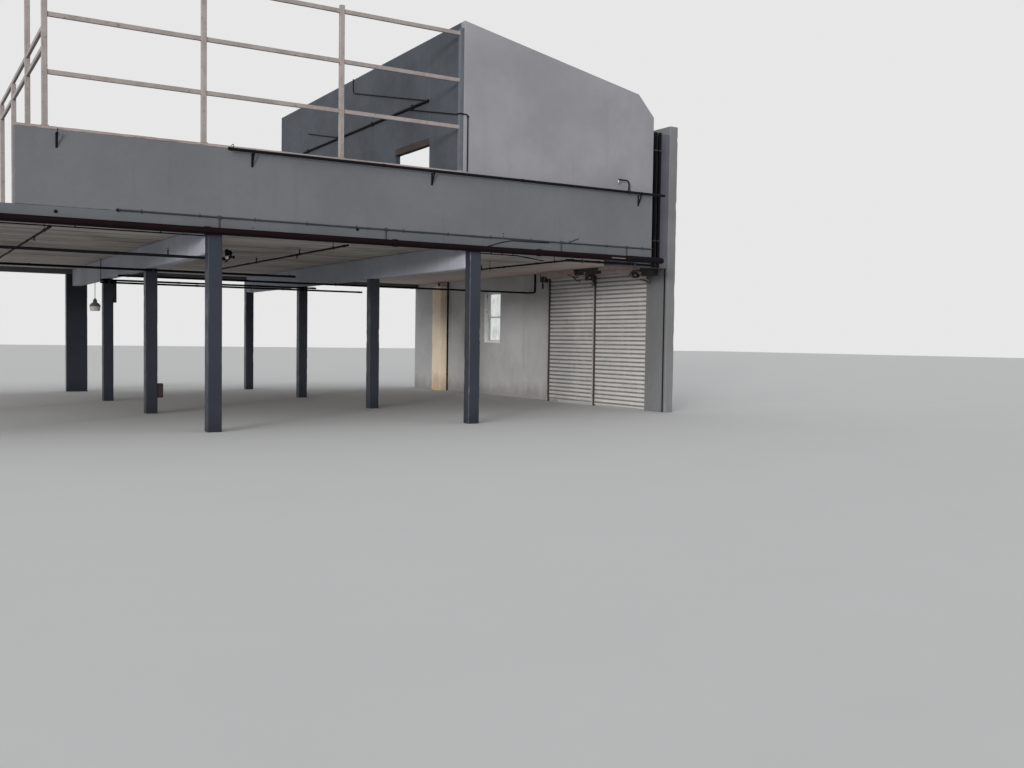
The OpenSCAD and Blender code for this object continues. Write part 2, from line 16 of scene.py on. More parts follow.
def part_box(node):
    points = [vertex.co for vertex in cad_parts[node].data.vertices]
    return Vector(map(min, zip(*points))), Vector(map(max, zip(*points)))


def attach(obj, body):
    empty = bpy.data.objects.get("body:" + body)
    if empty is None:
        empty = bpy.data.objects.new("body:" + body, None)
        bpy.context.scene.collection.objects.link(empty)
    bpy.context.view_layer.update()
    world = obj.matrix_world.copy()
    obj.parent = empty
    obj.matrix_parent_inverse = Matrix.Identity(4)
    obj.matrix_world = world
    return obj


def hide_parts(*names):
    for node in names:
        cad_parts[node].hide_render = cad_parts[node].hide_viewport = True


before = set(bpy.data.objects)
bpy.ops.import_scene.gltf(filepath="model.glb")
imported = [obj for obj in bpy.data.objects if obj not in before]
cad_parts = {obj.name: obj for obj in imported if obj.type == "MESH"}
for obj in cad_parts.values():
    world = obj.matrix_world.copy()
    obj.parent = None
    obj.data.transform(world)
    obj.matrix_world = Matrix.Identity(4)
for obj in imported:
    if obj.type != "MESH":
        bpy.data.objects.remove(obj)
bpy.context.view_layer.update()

MM = 0.001
UP = Vector((0, 0, 1))
ALONG_X = Vector((1, 0, 0))
ALONG_Y = Vector((0, 1, 0))


# Camera, lamps, floor and backdrop

EYE = Vector((-7.510, -23.858, 1.550))
YAW = math.radians(31.35)
PITCH = math.radians(2.35)  # below the horizon
ROLL = math.radians(-0.80)
LENS = 36.56
VIEW_END = 400.0
LAMP_COLOUR = (1.0, 0.985, 0.96)
KEY_FROM = Vector((-0.80, -0.62, 0.34))
KEY_SPREAD = math.radians(38)
KEY_STRENGTH = 1.1
LOW_FROM = Vector((-0.72, -0.69, 0.085))  # reaches in under the floor
LOW_SPREAD = math.radians(8)
LOW_STRENGTH = 1.6
SKY_COLOUR = (0.97, 0.985, 1.0, 1)
SKY_STRENGTH = 0.62
BACKDROP_COLOUR = (0.80, 0.80, 0.80, 1)
FLOOR_REACH = 150.0


class Nodes:
    """A tree of nodes, built up in a few plain steps."""

    def __init__(self, tree):
        self.tree = tree

    def put(self, socket, value):
        """Links a socket to another node's output, or sets it to a plain value."""
        if isinstance(value, bpy.types.NodeSocket):
            self.tree.links.new(value, socket)
        else:
            socket.default_value = value

    def node(self, kind, output, values, **settings):
        """Adds a node, fills its inputs and gives the output that is asked for."""
        node = self.tree.nodes.new(kind)
        for key, value in settings.items():
            setattr(node, key, value)
        for key, value in values.items():
            self.put(node.inputs[key], value)
        return node.outputs[output]

    def maths(self, operation, *values):
        return self.node("ShaderNodeMath", 0, dict(enumerate(values)), operation=operation)


def make_camera():
    ahead = Vector((math.sin(YAW), math.cos(YAW), 0))
    right = Vector((math.cos(YAW), -math.sin(YAW), 0))
    forward = ahead * math.cos(PITCH) - UP * math.sin(PITCH)
    down = -ahead * math.sin(PITCH) - UP * math.cos(PITCH)
    side = right * math.cos(ROLL) + down * math.sin(ROLL)
    below = down * math.cos(ROLL) - right * math.sin(ROLL)
    data = bpy.data.cameras.new("camera")
    data.lens = LENS
    data.clip_end = VIEW_END
    camera = bpy.data.objects.new("camera", data)
    turn = Matrix((side, -below, -forward)).transposed()
    camera.matrix_world = Matrix.Translation(EYE) @ turn.to_4x4()
    bpy.context.scene.collection.objects.link(camera)
    bpy.context.scene.camera = camera


def make_sun(name, source, spread, strength):
    lamp = bpy.data.lights.new(name, "SUN")
    lamp.energy = strength
    lamp.angle = spread
    lamp.color = LAMP_COLOUR
    sun = bpy.data.objects.new(name, lamp)
    sun.rotation_mode = "QUATERNION"
    sun.rotation_quaternion = source.to_track_quat("Z", "Y")
    bpy.context.scene.collection.objects.link(sun)


def make_lights():
    make_sun("key_light", KEY_FROM, KEY_SPREAD, KEY_STRENGTH)
    make_sun("low_light", LOW_FROM, LOW_SPREAD, LOW_STRENGTH)
    world = bpy.data.worlds.new("studio")
    world.use_nodes = True
    bpy.context.scene.world = world
    world.node_tree.nodes.clear()
    nodes = Nodes(world.node_tree)
    rays = world.node_tree.nodes.new("ShaderNodeLightPath").outputs
    seen = nodes.maths("MAXIMUM", rays["Is Camera Ray"], rays["Is Glossy Ray"])
    shown = nodes.maths("MAXIMUM", seen, rays["Is Transmission Ray"])
    sky = nodes.node("ShaderNodeBackground", 0, {"Color": SKY_COLOUR, "Strength": SKY_STRENGTH})
    backdrop = nodes.node("ShaderNodeBackground", 0, {"Color": BACKDROP_COLOUR})
    mixed = nodes.node("ShaderNodeMixShader", 0, {0: shown, 1: sky, 2: backdrop})
    output = world.node_tree.nodes.new("ShaderNodeOutputWorld")
    nodes.put(output.inputs["Surface"], mixed)


# Materials

PAINTS = {}


def rgb(red, green, blue):
    """A colour given as it looks, from 0 to 255, as the shader's linear colour."""

    def linear(value):
        share = value / 255
        if share <= 0.04045:
            return share / 12.92
        return ((share + 0.055) / 1.055) ** 2.4

    return (linear(red), linear(green), linear(blue), 1.0)


def shade(colour, amount):
    """The same colour, lighter above 1 and darker below it."""
    return tuple(min(1.0, part * amount) for part in colour[:3]) + (1.0,)


class Finish(Nodes):
    """A procedural material, kept in PAINTS under its name once it is done."""

    def __init__(self, name):
        self.name = name
        self.material = bpy.data.materials.new(name)
        self.material.use_nodes = True
        super().__init__(self.material.node_tree)
        self.shader = self.tree.nodes["Principled BSDF"]
        self.place = self.node("ShaderNodeTexCoord", "Object", {})
        self.facing = self.tree.nodes.new("ShaderNodeNewGeometry").outputs

    def noise(self, scale, stretch=(1, 1, 1), detail=4.0, roughness=0.6):
        place = self.node("ShaderNodeMapping", "Vector", {"Vector": self.place, "Scale": stretch})
        values = {"Vector": place, "Scale": scale, "Detail": detail, "Roughness": roughness}
        return self.node("ShaderNodeTexNoise", "Fac", values)

    def cells(self, scale):
        return self.node("ShaderNodeTexVoronoi", "Distance", {"Vector": self.place, "Scale": scale})

    def along(self, axis):
        return self.node("ShaderNodeSeparateXYZ", axis, {0: self.place})

    def upward(self):
        """1 on faces that look up, and -1 on faces that look down."""
        return self.node("ShaderNodeSeparateXYZ", 2, {0: self.facing["True Normal"]})

    def times(self, first, second):
        return self.maths("MULTIPLY", first, second)

    def between(self, value, low, high, start=0.0, end=1.0):
        """Goes smoothly from start to end as the value goes from low to high."""
        values = {"Value": value, "From Min": low, "From Max": high, "To Min": start, "To Max": end}
        return self.node("ShaderNodeMapRange", "Result", values, interpolation_type="SMOOTHSTEP")

    def blend(self, share, first, second):
        return self.node("ShaderNodeMix", 2, {0: share, 6: first, 7: second}, data_type="RGBA")

    def stain(self, tone, colour, low, high, most, *noise, **more_noise):
        """The tone with a colour over it, the more so as a noise goes from low to high."""
        share = self.between(self.noise(*noise, **more_noise), low, high, 0.0, most)
        return self.blend(share, tone, colour)

    def edges(self, width):
        """1 along outer and inner edges, within about the width given, and 0 elsewhere."""
        bevelled = self.node("ShaderNodeBevel", "Normal", {"Radius": width}, samples=4)
        values = {0: bevelled, 1: self.facing["Normal"]}
        dot = self.node("ShaderNodeVectorMath", "Value", values, operation="DOT_PRODUCT")
        return self.between(dot, 0.99, 0.80)

    def bump(self, height, distance):
        normal = self.node("ShaderNodeBump", "Normal", {"Distance": distance, "Height": height})
        self.put(self.shader.inputs["Normal"], normal)

    def done(self, colour, roughness, metallic=0.0, specular=0.5):
        self.put(self.shader.inputs["Base Color"], colour)
        self.put(self.shader.inputs["Roughness"], roughness)
        self.put(self.shader.inputs["Metallic"], metallic)
        self.put(self.shader.inputs["Specular IOR Level"], specular)
        PAINTS[self.name] = self.material


def plaster(name, colour, dirt, bare, mottle=0.10, runs=0.35, foot=0.0, wear=0.6, rough=0.82):
    """Matt paint over plaster or concrete, with patches, runs of dirt and rubbed edges."""
    look = Finish(name)
    colour = rgb(*colour)
    dirt = rgb(*dirt)
    dark = shade(colour, 1 - mottle)
    tone = look.stain(dark, shade(colour, 1 + mottle * 0.7), 0.32, 0.68, 1.0, 0.7, detail=6.0)
    tone = look.stain(tone, shade(dirt, 1.5), 0.50, 0.82, 0.35, 3.1, detail=8.0, roughness=0.7)
    tone = look.stain(tone, dirt, 0.54, 0.80, runs, 1.0, (6.0, 6.0, 0.45), 7.0, 0.65)
    specks = look.between(look.cells(19.0), 0.13, 0.05, 0.0, 0.5)
    sparse = look.between(look.noise(2.3, detail=3.0), 0.56, 0.66)
    tone = look.blend(look.times(specks, sparse), tone, dirt)
    if foot:
        ragged = look.times(look.noise(2.0, (1.5, 1.5, 0.8), 7.0), foot * 1.4)
        height = look.maths("SUBTRACT", look.along(2), ragged)
        tone = look.blend(look.between(height, foot * 0.4, -foot * 0.6, 0.0, 0.55), tone, dirt)
    rubbed = look.times(look.edges(0.022), look.between(look.noise(9.0, detail=7.0), 0.42, 0.60))
    tone = look.blend(look.times(rubbed, wear), tone, rgb(*bare))
    trowel = look.noise(5.5, detail=7.0, roughness=0.62)
    height = look.maths("ADD", trowel, look.times(look.noise(90.0, detail=3.0), 0.09))
    look.bump(look.maths("SUBTRACT", height, look.times(rubbed, 0.20)), 6 * MM)
    look.done(tone, look.between(trowel, 0.3, 0.7, rough - 0.08, rough + 0.08), specular=0.35)


BOARD = 0.152


def soffit_and_screed():
    """Limewashed board-marked concrete under the floor, paler near the side wall with painted light, and a
    worn grey screed on top.
    """
    look = Finish("soffit_paint")
    lime = rgb(196, 190, 184)
    grime = rgb(98, 84, 80)
    boards = look.maths("DIVIDE", look.along(1), BOARD)
    within = look.maths("FRACT", boards)
    seam = look.maths("MAXIMUM", look.between(within, 0.05, 0.0), look.between(within, 0.95, 1.0))
    count = {"W": look.maths("FLOOR", boards)}
    board_tone = look.node("ShaderNodeTexWhiteNoise", "Value", count, noise_dimensions="1D")
    tone = look.blend(board_tone, shade(lime, 0.80), shade(lime, 1.08))
    patches = look.between(look.noise(0.55, detail=7.0, roughness=0.65), 0.44, 0.74, 0.0, 0.62)
    tone = look.blend(patches, tone, grime)
    tone = look.stain(tone, shade(grime, 0.9), 0.46, 0.66, 0.55, 0.9, (0.35, 4.5, 1.0), 5.0, 0.55)
    tone = look.stain(tone, rgb(176, 150, 146), 0.52, 0.70, 0.40, 0.8, (0.5, 2.5, 1.0))
    tone = look.blend(look.times(seam, 0.42), tone, shade(grime, 0.7))
    wood = look.noise(2.2, (1.0, 26.0, 1.0), 6.0)
    tone = look.blend(look.between(wood, 0.45, 0.75, 0.0, 0.16), tone, grime)
    tone = look.stain(tone, rgb(126, 96, 72), 0.66, 0.74, 0.5, 1.7, detail=6.0)
    # Paler from X 4.6 to 7.2, towards the side wall: painted light, where window light falls on the soffit
    tone = look.blend(look.between(look.along(0), 4.6, 7.2, 0.0, 0.75), tone, rgb(214, 198, 190))
    screed = look.stain(rgb(116, 114, 110), rgb(146, 143, 138), 0.3, 0.7, 1.0, 0.8, detail=8.0)
    screed = look.stain(screed, rgb(88, 84, 79), 0.55, 0.8, 0.5, 4.5, detail=8.0)
    screed = look.blend(look.between(look.cells(0.55), 0.045, 0.02, 0.0, 0.3), screed, rgb(70, 66, 62))
    side = look.between(look.maths("ABSOLUTE", look.upward()), 0.6, 0.3)
    tone = look.blend(side, tone, rgb(104, 107, 111))
    upper = look.between(look.upward(), 0.3, 0.6)
    tone = look.blend(upper, tone, screed)
    height = look.maths("SUBTRACT", wood, look.times(seam, 1.6))
    height = look.times(height, look.maths("SUBTRACT", 1.0, upper))
    look.bump(look.maths("ADD", height, look.times(look.noise(30.0, detail=6.0), 0.35)), 4 * MM)
    look.done(tone, look.between(patches, 0.0, 0.6, 0.88, 0.74), specular=0.3)


def enamel(name, colour, rust, rusty=0.3, dust=0.35, rough=0.45, streaks=0.0, gloss=0.45):
    """Paint on steel, with dust on top, rubbed edges and rust that breaks through."""
    look = Finish(name)
    colour = rgb(*colour)
    rust = rgb(*rust)
    tone = look.stain(shade(colour, 0.88), shade(colour, 1.10), 0.3, 0.7, 1.0, 4.0, detail=6.0)
    tone = look.stain(tone, shade(rust, 0.55), 0.50, 0.85, 0.45, 11.0, (1.0, 1.0, 0.5), 7.0, 0.7)
    if streaks:
        tone = look.stain(tone, shade(rust, 0.8), 0.55, 0.78, streaks, 1.3, (9.0, 9.0, 0.5), 6.0)
    breaks = look.noise(23.0, detail=8.0, roughness=0.7)
    spots = look.between(breaks, 0.70 - 0.12 * rusty, 0.76 - 0.10 * rusty)
    worn = look.times(look.edges(0.006), look.between(breaks, 0.40, 0.55, 0.0, 0.8))
    broken = look.maths("MAXIMUM", spots, worn)
    tone = look.blend(broken, tone, rust)
    settled = look.times(look.between(look.upward(), 0.35, 0.95), dust)
    tone = look.blend(settled, tone, rgb(150, 143, 134))
    fine = look.times(look.noise(160.0, detail=2.0), 0.10)
    look.bump(look.maths("SUBTRACT", fine, look.times(broken, 0.8)), 0.6 * MM)
    look.done(tone, look.between(broken, 0.0, 1.0, rough, 0.88), specular=gloss)


def bare_steel(name, colour, rust, rough=0.42):
    """Zinc-coated or bare steel with dull patches."""
    look = Finish(name)
    colour = rgb(*colour)
    spangle = look.between(look.cells(55.0), 0.1, 0.6)
    tone = look.blend(spangle, shade(colour, 0.85), shade(colour, 1.12))
    old = look.between(look.noise(14.0, detail=7.0), 0.55, 0.78, 0.0, 0.75)
    tone = look.blend(old, tone, rgb(*rust))
    look.bump(look.noise(60.0, detail=5.0), 0.3 * MM)
    metal = look.between(old, 0.0, 0.6, 0.75, 0.05)
    look.done(tone, look.between(old, 0.0, 0.75, rough, 0.85), metallic=metal)


def timber(name, colour):
    """Stained timber with grain along Y."""
    look = Finish(name)
    colour = rgb(*colour)
    grain = look.noise(7.0, (9.0, 0.5, 9.0), 9.0, 0.62)
    tone = look.blend(look.between(grain, 0.35, 0.68), shade(colour, 0.55), shade(colour, 1.5))
    tone = look.stain(tone, rgb(52, 42, 38), 0.52, 0.75, 0.6, 3.0, detail=6.0)
    look.bump(grain, 3 * MM)
    look.done(tone, look.between(grain, 0.3, 0.7, 0.80, 0.62))


def glass():
    look = Finish("window_glass")
    film = look.between(look.noise(6.0, (1.0, 1.0, 0.6), 7.0), 0.35, 0.75)
    tone = look.blend(film, rgb(246, 250, 250), rgb(224, 228, 226))
    look.shader.inputs["Transmission Weight"].default_value = 0.94
    look.shader.inputs["IOR"].default_value = 1.45
    look.bump(look.noise(3.0, detail=2.0), 0.4 * MM)
    look.done(tone, look.between(film, 0.0, 1.0, 0.04, 0.20))


SLAT = 0.1008
SHUTTER_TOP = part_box("roller_shutters")[1].z


def shutter_enamel():
    """Pale enamel on slats, with faint coloured stains, patches of soot, and a darker band at each joint:
    partly dirt, partly painted shade in its hollow.
    """
    look = Finish("shutter_paint")
    colour = rgb(200, 199, 197)
    dark = shade(colour, 0.90)
    tone = look.stain(dark, shade(colour, 1.07), 0.3, 0.7, 1.0, 1.0, (1.2, 1.2, 9.0), 5.0, 0.7)
    tone = look.stain(tone, rgb(190, 160, 134), 0.58, 0.74, 0.40, 1.6, (0.8, 0.8, 3.0))
    tone = look.stain(tone, rgb(140, 156, 178), 0.60, 0.76, 0.30, 1.9, (0.9, 0.9, 3.4))
    soot = look.between(look.noise(5.0, (1.0, 1.0, 2.0), 8.0, 0.7), 0.52, 0.85, 0.0, 0.5)
    tone = look.blend(soot, tone, rgb(110, 103, 95))
    tone = look.stain(tone, rgb(112, 78, 56), 0.72, 0.78, 0.3, 31.0, detail=8.0)
    # A darker band along each joint, at the slat pitch: partly dirt, partly painted shade in the hollow of
    # the joint
    slats = look.maths("DIVIDE", look.maths("SUBTRACT", look.along(2), SHUTTER_TOP), SLAT)
    within = look.maths("FRACT", slats)
    joint_shade = look.maths("MAXIMUM", look.between(within, 0.34, 0.16), look.between(within, 0.78, 0.92))
    ragged = look.between(look.noise(7.0, (1.0, 1.0, 0.3), 6.0), 0.25, 0.60, 0.72, 1.0)
    tone = look.blend(look.times(joint_shade, ragged), tone, rgb(124, 121, 119))
    look.bump(look.noise(120.0, detail=2.0), 0.2 * MM)
    look.done(tone, look.between(soot, 0.0, 0.5, 0.42, 0.70), specular=0.4)


def stage_floor():
    look = Finish("studio_floor")
    tone = look.blend(look.noise(0.6), (0.60, 0.60, 0.60, 1), (0.63, 0.63, 0.63, 1))
    look.done(tone, 0.95, specular=0.1)


RUST = (104, 66, 44)
DARK_RUST = (70, 48, 38)


def make_paints():
    """Plaster takes its colour, its dirt and its bare edges; enamel and steel their colour and rust."""
    soffit_and_screed()
    shutter_enamel()
    glass()
    stage_floor()
    timber("brown_timber", (42, 29, 24))
    plaster("grey_wall_paint", (99, 101, 105), (76, 76, 78), (128, 126, 124), mottle=0.07, runs=0.22)
    # The edge beams' grey, darker than the walls' grey: painted shade on the beams
    plaster("edge_beam_shaded_paint", (90, 93, 97), (66, 66, 68), (118, 116, 112), runs=0.3)
    plaster("corner_pier_paint", (112, 113, 115), (84, 82, 80), (140, 138, 134), runs=0.3)
    plaster("beam_paint", (169, 174, 184), (100, 98, 100), (188, 184, 180), runs=0.25)
    plaster("column_paint", (40, 45, 56), (24, 26, 32), (70, 76, 84), mottle=0.16, foot=0.35, rough=0.40)
    plaster("white_wall_paint", (187, 187, 188), (118, 113, 108), (150, 142, 132), foot=0.45)
    plaster("grimy_concrete", (84, 74, 70), (38, 33, 32), (120, 108, 98), runs=0.6)
    plaster("cream_paint", (250, 230, 206), (150, 118, 90), (170, 142, 116), mottle=0.12, foot=0.6)
    plaster("cap_paint", (152, 141, 138), (88, 80, 78), (104, 94, 90), mottle=0.22, wear=0.9)
    plaster("room_wall_paint", (133, 133, 138), (106, 104, 107), (158, 155, 152), runs=0.18)
    plaster("partition_paint", (67, 71, 78), (48, 49, 52), (104, 102, 100), mottle=0.16)
    # Dark grey for the room's end wall: painted shade, where that wall stands in shadow
    plaster("end_wall_shaded_paint", (85, 84, 94), (60, 58, 64), (112, 110, 110), runs=0.3)
    enamel("dark_steel", (52, 48, 47), DARK_RUST, rusty=0.8, rough=0.6)
    enamel("rail_paint", (143, 136, 134), RUST, rusty=0.9, dust=0.2, rough=0.55, streaks=0.35)
    enamel("corner_post_paint", (84, 88, 96), DARK_RUST, rusty=0.5, dust=0.1, rough=0.6)
    enamel("guide_paint", (176, 170, 168), RUST, rusty=0.4, dust=0.2, rough=0.5, streaks=0.3)
    # Dark enamel for the strips beside the curtains: painted shadow in the gap
    enamel("guide_shadow_paint", (70, 66, 62), DARK_RUST, rusty=0.4, dust=0.1, rough=0.7, gloss=0.2)
    enamel("dusty_roll_steel", (176, 160, 156), DARK_RUST, rusty=0.9, dust=0.3, rough=0.7, gloss=0.25)
    enamel("red_pipe_paint", (19, 8, 11), (34, 24, 22), rusty=0.1, dust=0.0, rough=0.7, gloss=0.08)
    enamel("black_pipe_paint", (13, 13, 18), (40, 32, 30), rusty=0.1, dust=0.0, rough=0.7, gloss=0.12)
    enamel("pipe_wrap", (21, 19, 25), DARK_RUST, rusty=0.1, dust=0.0, rough=0.85, gloss=0.05)
    enamel("worn_tape", (122, 106, 110), DARK_RUST, rusty=0.2, dust=0.0, rough=0.8, gloss=0.1)
    enamel("conduit_paint", (52, 56, 64), DARK_RUST, rusty=0.2, dust=0.05, rough=0.6, gloss=0.15)
    enamel("red_box_paint", (48, 30, 32), DARK_RUST, dust=0.3, rough=0.5)
    enamel("pale_rosette", (196, 164, 134), DARK_RUST, dust=0.0, rough=0.5)
    enamel("lamp_shade", (104, 106, 112), DARK_RUST, rusty=0.4, dust=0.3, rough=0.5)
    # Pale enamel for the lamp's skirt and bulb: painted light, standing in for the lamp's glow
    enamel("lamp_glow_paint", (206, 204, 196), DARK_RUST, dust=0.0, rough=0.35)
    # Glossy near-white: partly the window's own white paint, partly painted light for the daylight glare
    # round it
    enamel("window_white_and_glare_paint", (240, 240, 238), RUST, rusty=0.1, dust=0.0, rough=0.28, gloss=0.7)
    bare_steel("worn_silver", (176, 176, 174), (110, 98, 88))
    bare_steel("dull_brass", (46, 40, 34), (34, 30, 28), rough=0.6)


# Shapes

MERGE = 0.01 * MM
FLAT = math.radians(1)
SHARP = math.radians(30)
CREASE = math.radians(32)
STRAIGHT = math.radians(179)


def circle(centre, across, other, radius, sides):
    turns = [2 * math.pi * i / sides for i in range(sides)]
    return [centre + (across * math.cos(turn) + other * math.sin(turn)) * radius for turn in turns]


def outline(low, high, along, at, cuts, inset):
    """A rectangle with cut corners, across a bar at one place along it."""
    first, second = [axis for axis in range(3) if axis != along]
    a0, a1 = low[first] + inset, high[first] - inset
    b0, b1 = low[second] + inset, high[second] - inset
    c0, c1, c2, c3 = cuts
    points = []
    for a, b in (
        (a0, b0 + c0), (a0 + c0, b0), (a1 - c1, b0), (a1, b0 + c1),
        (a1, b1 - c2), (a1 - c2, b1), (a0 + c3, b1), (a0, b1 - c3),
    ):
        point = Vector((0, 0, 0))
        point[first] = a
        point[second] = b
        point[along] = at
        points.append(point)
    return points


def rounded(corners, bend, steps=7):
    """A path whose corners are turned into arcs."""
    corners = [Vector(corner) for corner in corners]
    path = [corners[0]]
    for before, corner, after in zip(corners, corners[1:], corners[2:]):
        to_before = (before - corner).normalized()
        to_after = (after - corner).normalized()
        angle = to_before.angle(to_after)
        if angle > STRAIGHT:
            path.append(corner)
            continue
        longest = min((before - corner).length, (after - corner).length) * 0.49
        back = min(bend / math.tan(angle / 2), longest)
        radius = back * math.tan(angle / 2)
        middle = (to_before + to_after).normalized()
        centre = corner + middle * (radius / math.sin(angle / 2))
        start = corner + to_before * back - centre
        end = corner + to_after * back - centre
        for i in range(steps + 1):
            path.append(centre + start.slerp(end, i / steps).normalized() * radius)
    path.append(corners[-1])
    return path


class Shape:
    """Points and faces that become one piece."""

    def __init__(self):
        self.points = []
        self.faces = []

    def rings(self, rings):
        """Joins rings of as many points each into a closed form."""
        start = len(self.points)
        count = len(rings[0])
        for ring in rings:
            self.points.extend(Vector(point) for point in ring)
        last = start + (len(rings) - 1) * count
        for low in range(start, last, count):
            high = low + count
            for i in range(count):
                after = (i + 1) % count
                self.faces.append((low + i, low + after, high + after, high + i))
        self.faces.append(tuple(start + i for i in reversed(range(count))))
        self.faces.append(tuple(last + i for i in range(count)))

    def lathe(self, profile, base, axis=UP, sides=20):
        """A turned form. The profile gives distances along the axis and radii."""
        axis = Vector(axis).normalized()
        across = axis.orthogonal().normalized()
        other = axis.cross(across)
        base = Vector(base)
        rings = []
        for at, reach in profile:
            rings.append(circle(base + axis * at, across, other, max(reach, 0.2 * MM), sides))
        self.rings(rings)

    def sweep(self, path, radius, sides=14):
        """A round tube along a path."""
        path = [Vector(point) for point in path]
        ways = [(after - before).normalized() for before, after in zip(path, path[1:])]
        ways = [ways[0]] + [(a + b).normalized() for a, b in zip(ways, ways[1:])] + [ways[-1]]
        across = ways[0].orthogonal().normalized()
        rings = []
        for point, way in zip(path, ways):
            across = (across - way * across.dot(way)).normalized()
            rings.append(circle(point, across, way.cross(across), radius, sides))
        self.rings(rings)

    def pipe(self, corners, radius, bend, sides=14):
        """A tube whose corners are rounded."""
        self.sweep(rounded(corners, bend), radius, sides)

    def bar(self, low, high, along, seed, cut=0.010, chip=0.014, chips=0.08, step=0.09):
        """A square bar whose long edges are rubbed and chipped."""
        rng = random.Random(seed)
        length = high[along] - low[along]
        cut = min(cut, length / 4)
        count = max(1, round((length - 2 * cut) / step))
        left = [0, 0, 0, 0]
        deep = [0.0, 0.0, 0.0, 0.0]
        rings = [outline(low, high, along, low[along], [cut] * 4, cut * 0.8)]
        for i in range(count + 1):
            cuts = []
            for corner in range(4):
                if left[corner] == 0 and rng.random() < chips:
                    left[corner] = rng.randint(1, 4)
                    deep[corner] = chip * rng.random()
                worn = 0.0
                if left[corner]:
                    worn = deep[corner] * rng.uniform(0.5, 1.0)
                    left[corner] -= 1
                cuts.append(cut * rng.uniform(0.75, 1.25) + worn)
            at = low[along] + cut + (length - 2 * cut) * i / count
            rings.append(outline(low, high, along, at, cuts, 0.0))
        rings.append(outline(low, high, along, high[along], [cut] * 4, cut * 0.8))
        self.rings(rings)

    def block(self, low, high, cut=2 * MM):
        """A small box with bevelled edges."""
        low = Vector(low)
        high = Vector(high)
        cut = min(cut, min(high - low) / 4)
        places = ((low[2], cut), (low[2] + cut, 0.0), (high[2] - cut, 0.0), (high[2], cut))
        self.rings([outline(low, high, 2, at, [cut] * 4, inset) for at, inset in places])

    def bolt(self, base, axis, size):
        """A washer and a hexagon head on a face."""
        self.lathe([(0, size), (size * 0.14, size), (size * 0.14, size * 0.5)], base, axis, 12)
        head = [(size * 0.14, size * 0.80), (size * 0.62, size * 0.80), (size * 0.72, size * 0.62)]
        self.lathe(head, base, axis, 6)

    def extrude(self, section, start, end):
        """An outline of points carried from one offset to another."""
        self.rings([[Vector(point) + Vector(at) for point in section] for at in (start, end)])

    def coupling(self, centre, axis, radius, width, rim):
        """A ribbed sleeve round a pipe, with a bead at each end."""
        half = width / 2
        side = [
            (half, radius + 0.3 * MM), (half, radius + rim), (half - rim, radius + rim),
            (half - rim * 1.4, radius + rim * 0.6),
        ]
        self.lathe([(-at, reach) for at, reach in side] + side[::-1], centre, axis, 24)


def solids(node):
    """The lowest and highest corners of each separate solid in a CAD node, from left to right."""
    mesh = bmesh.new()
    mesh.from_mesh(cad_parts[node].data)
    bmesh.ops.remove_doubles(mesh, verts=mesh.verts, dist=MERGE)
    left = set(mesh.verts)
    found = []
    while left:
        group = [left.pop()]
        for vertex in group:
            for edge in vertex.link_edges:
                other = edge.other_vert(vertex)
                if other in left:
                    left.remove(other)
                    group.append(other)
        low = Vector(min(vertex.co[axis] for vertex in group) for axis in range(3))
        high = Vector(max(vertex.co[axis] for vertex in group) for axis in range(3))
        found.append((low, high))
    mesh.free()
    return sorted(found, key=lambda pair: tuple(round(part, 3) for part in (*pair[0], *pair[1])))


def jittered(start, end, count, rng, least, most, shift=UP):
    """Points from start to end, each shifted a few millimetres at random."""
    start = Vector(start)
    end = Vector(end)
    return [start.lerp(end, i / count) + shift * rng.uniform(least, most) * MM for i in range(count + 1)]


def place(mesh, name, slot, look, replaced):
    """Puts a mesh in the scene as a piece that rides on the body."""
    shell = bmesh.new()
    shell.from_mesh(mesh)
    bmesh.ops.recalc_face_normals(shell, faces=shell.faces)
    shell.to_mesh(mesh)
    shell.free()
    mesh.shade_smooth()
    mesh.set_sharp_from_angle(angle=CREASE)
    mesh.materials.clear()
    mesh.materials.append(PAINTS[look or slot])
    piece = bpy.data.objects.new(name, mesh)
    bpy.context.scene.collection.objects.link(piece)
    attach(piece, "root")
    if replaced:
        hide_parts(*replaced)


def make(shape, name, slot, *replaced, look=None):
    """Makes a piece of a shape. Its look is its slot's own, unless another is named."""
    mesh = bpy.data.meshes.new(name)
    mesh.from_pydata(shape.points, [], shape.faces)
    place(mesh, name, slot, look, replaced)


PATCH = 0.45


def weathered(node, slot, look=None):
    """A copy of a CAD node's mesh with rubbed edges and slightly uneven faces."""
    mesh = bmesh.new()
    mesh.from_mesh(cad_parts[node].data)
    bmesh.ops.remove_doubles(mesh, verts=mesh.verts, dist=MERGE)
    bmesh.ops.dissolve_limit(mesh, angle_limit=FLAT, verts=mesh.verts, edges=mesh.edges)
    bmesh.ops.recalc_face_normals(mesh, faces=mesh.faces)
    low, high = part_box(node)
    sharp = [edge for edge in mesh.edges if edge.calc_face_angle(0) > SHARP]
    bmesh.ops.bevel(mesh, geom=sharp, offset=10 * MM, segments=2, affect="EDGES", profile=0.6)
    for axis in range(3):
        normal = Vector((0, 0, 0))
        normal[axis] = 1
        count = int((high[axis] - low[axis]) / PATCH)
        for i in range(1, count):
            at = normal * (low[axis] + (high[axis] - low[axis]) * i / count)
            everything = mesh.verts[:] + mesh.edges[:] + mesh.faces[:]
            bmesh.ops.bisect_plane(mesh, geom=everything, plane_co=at, plane_no=normal)
    rng = random.Random(node)
    for vertex in mesh.verts:
        vertex.co -= vertex.normal * rng.uniform(0.0, 1.5) * MM
    data = bpy.data.meshes.new(node + "_worn")
    mesh.to_mesh(data)
    mesh.free()
    place(data, node + "_worn", slot, look, [node])


def worn_bars(node, slot, along, look=None, **wear):
    """Each solid of a node as a bar with chipped edges."""
    shape = Shape()
    for i, (low, high) in enumerate(solids(node)):
        shape.bar(low, high, along, node + str(i), **wear)
    make(shape, node + "_worn", slot, node, look=look)


# Concrete and plaster


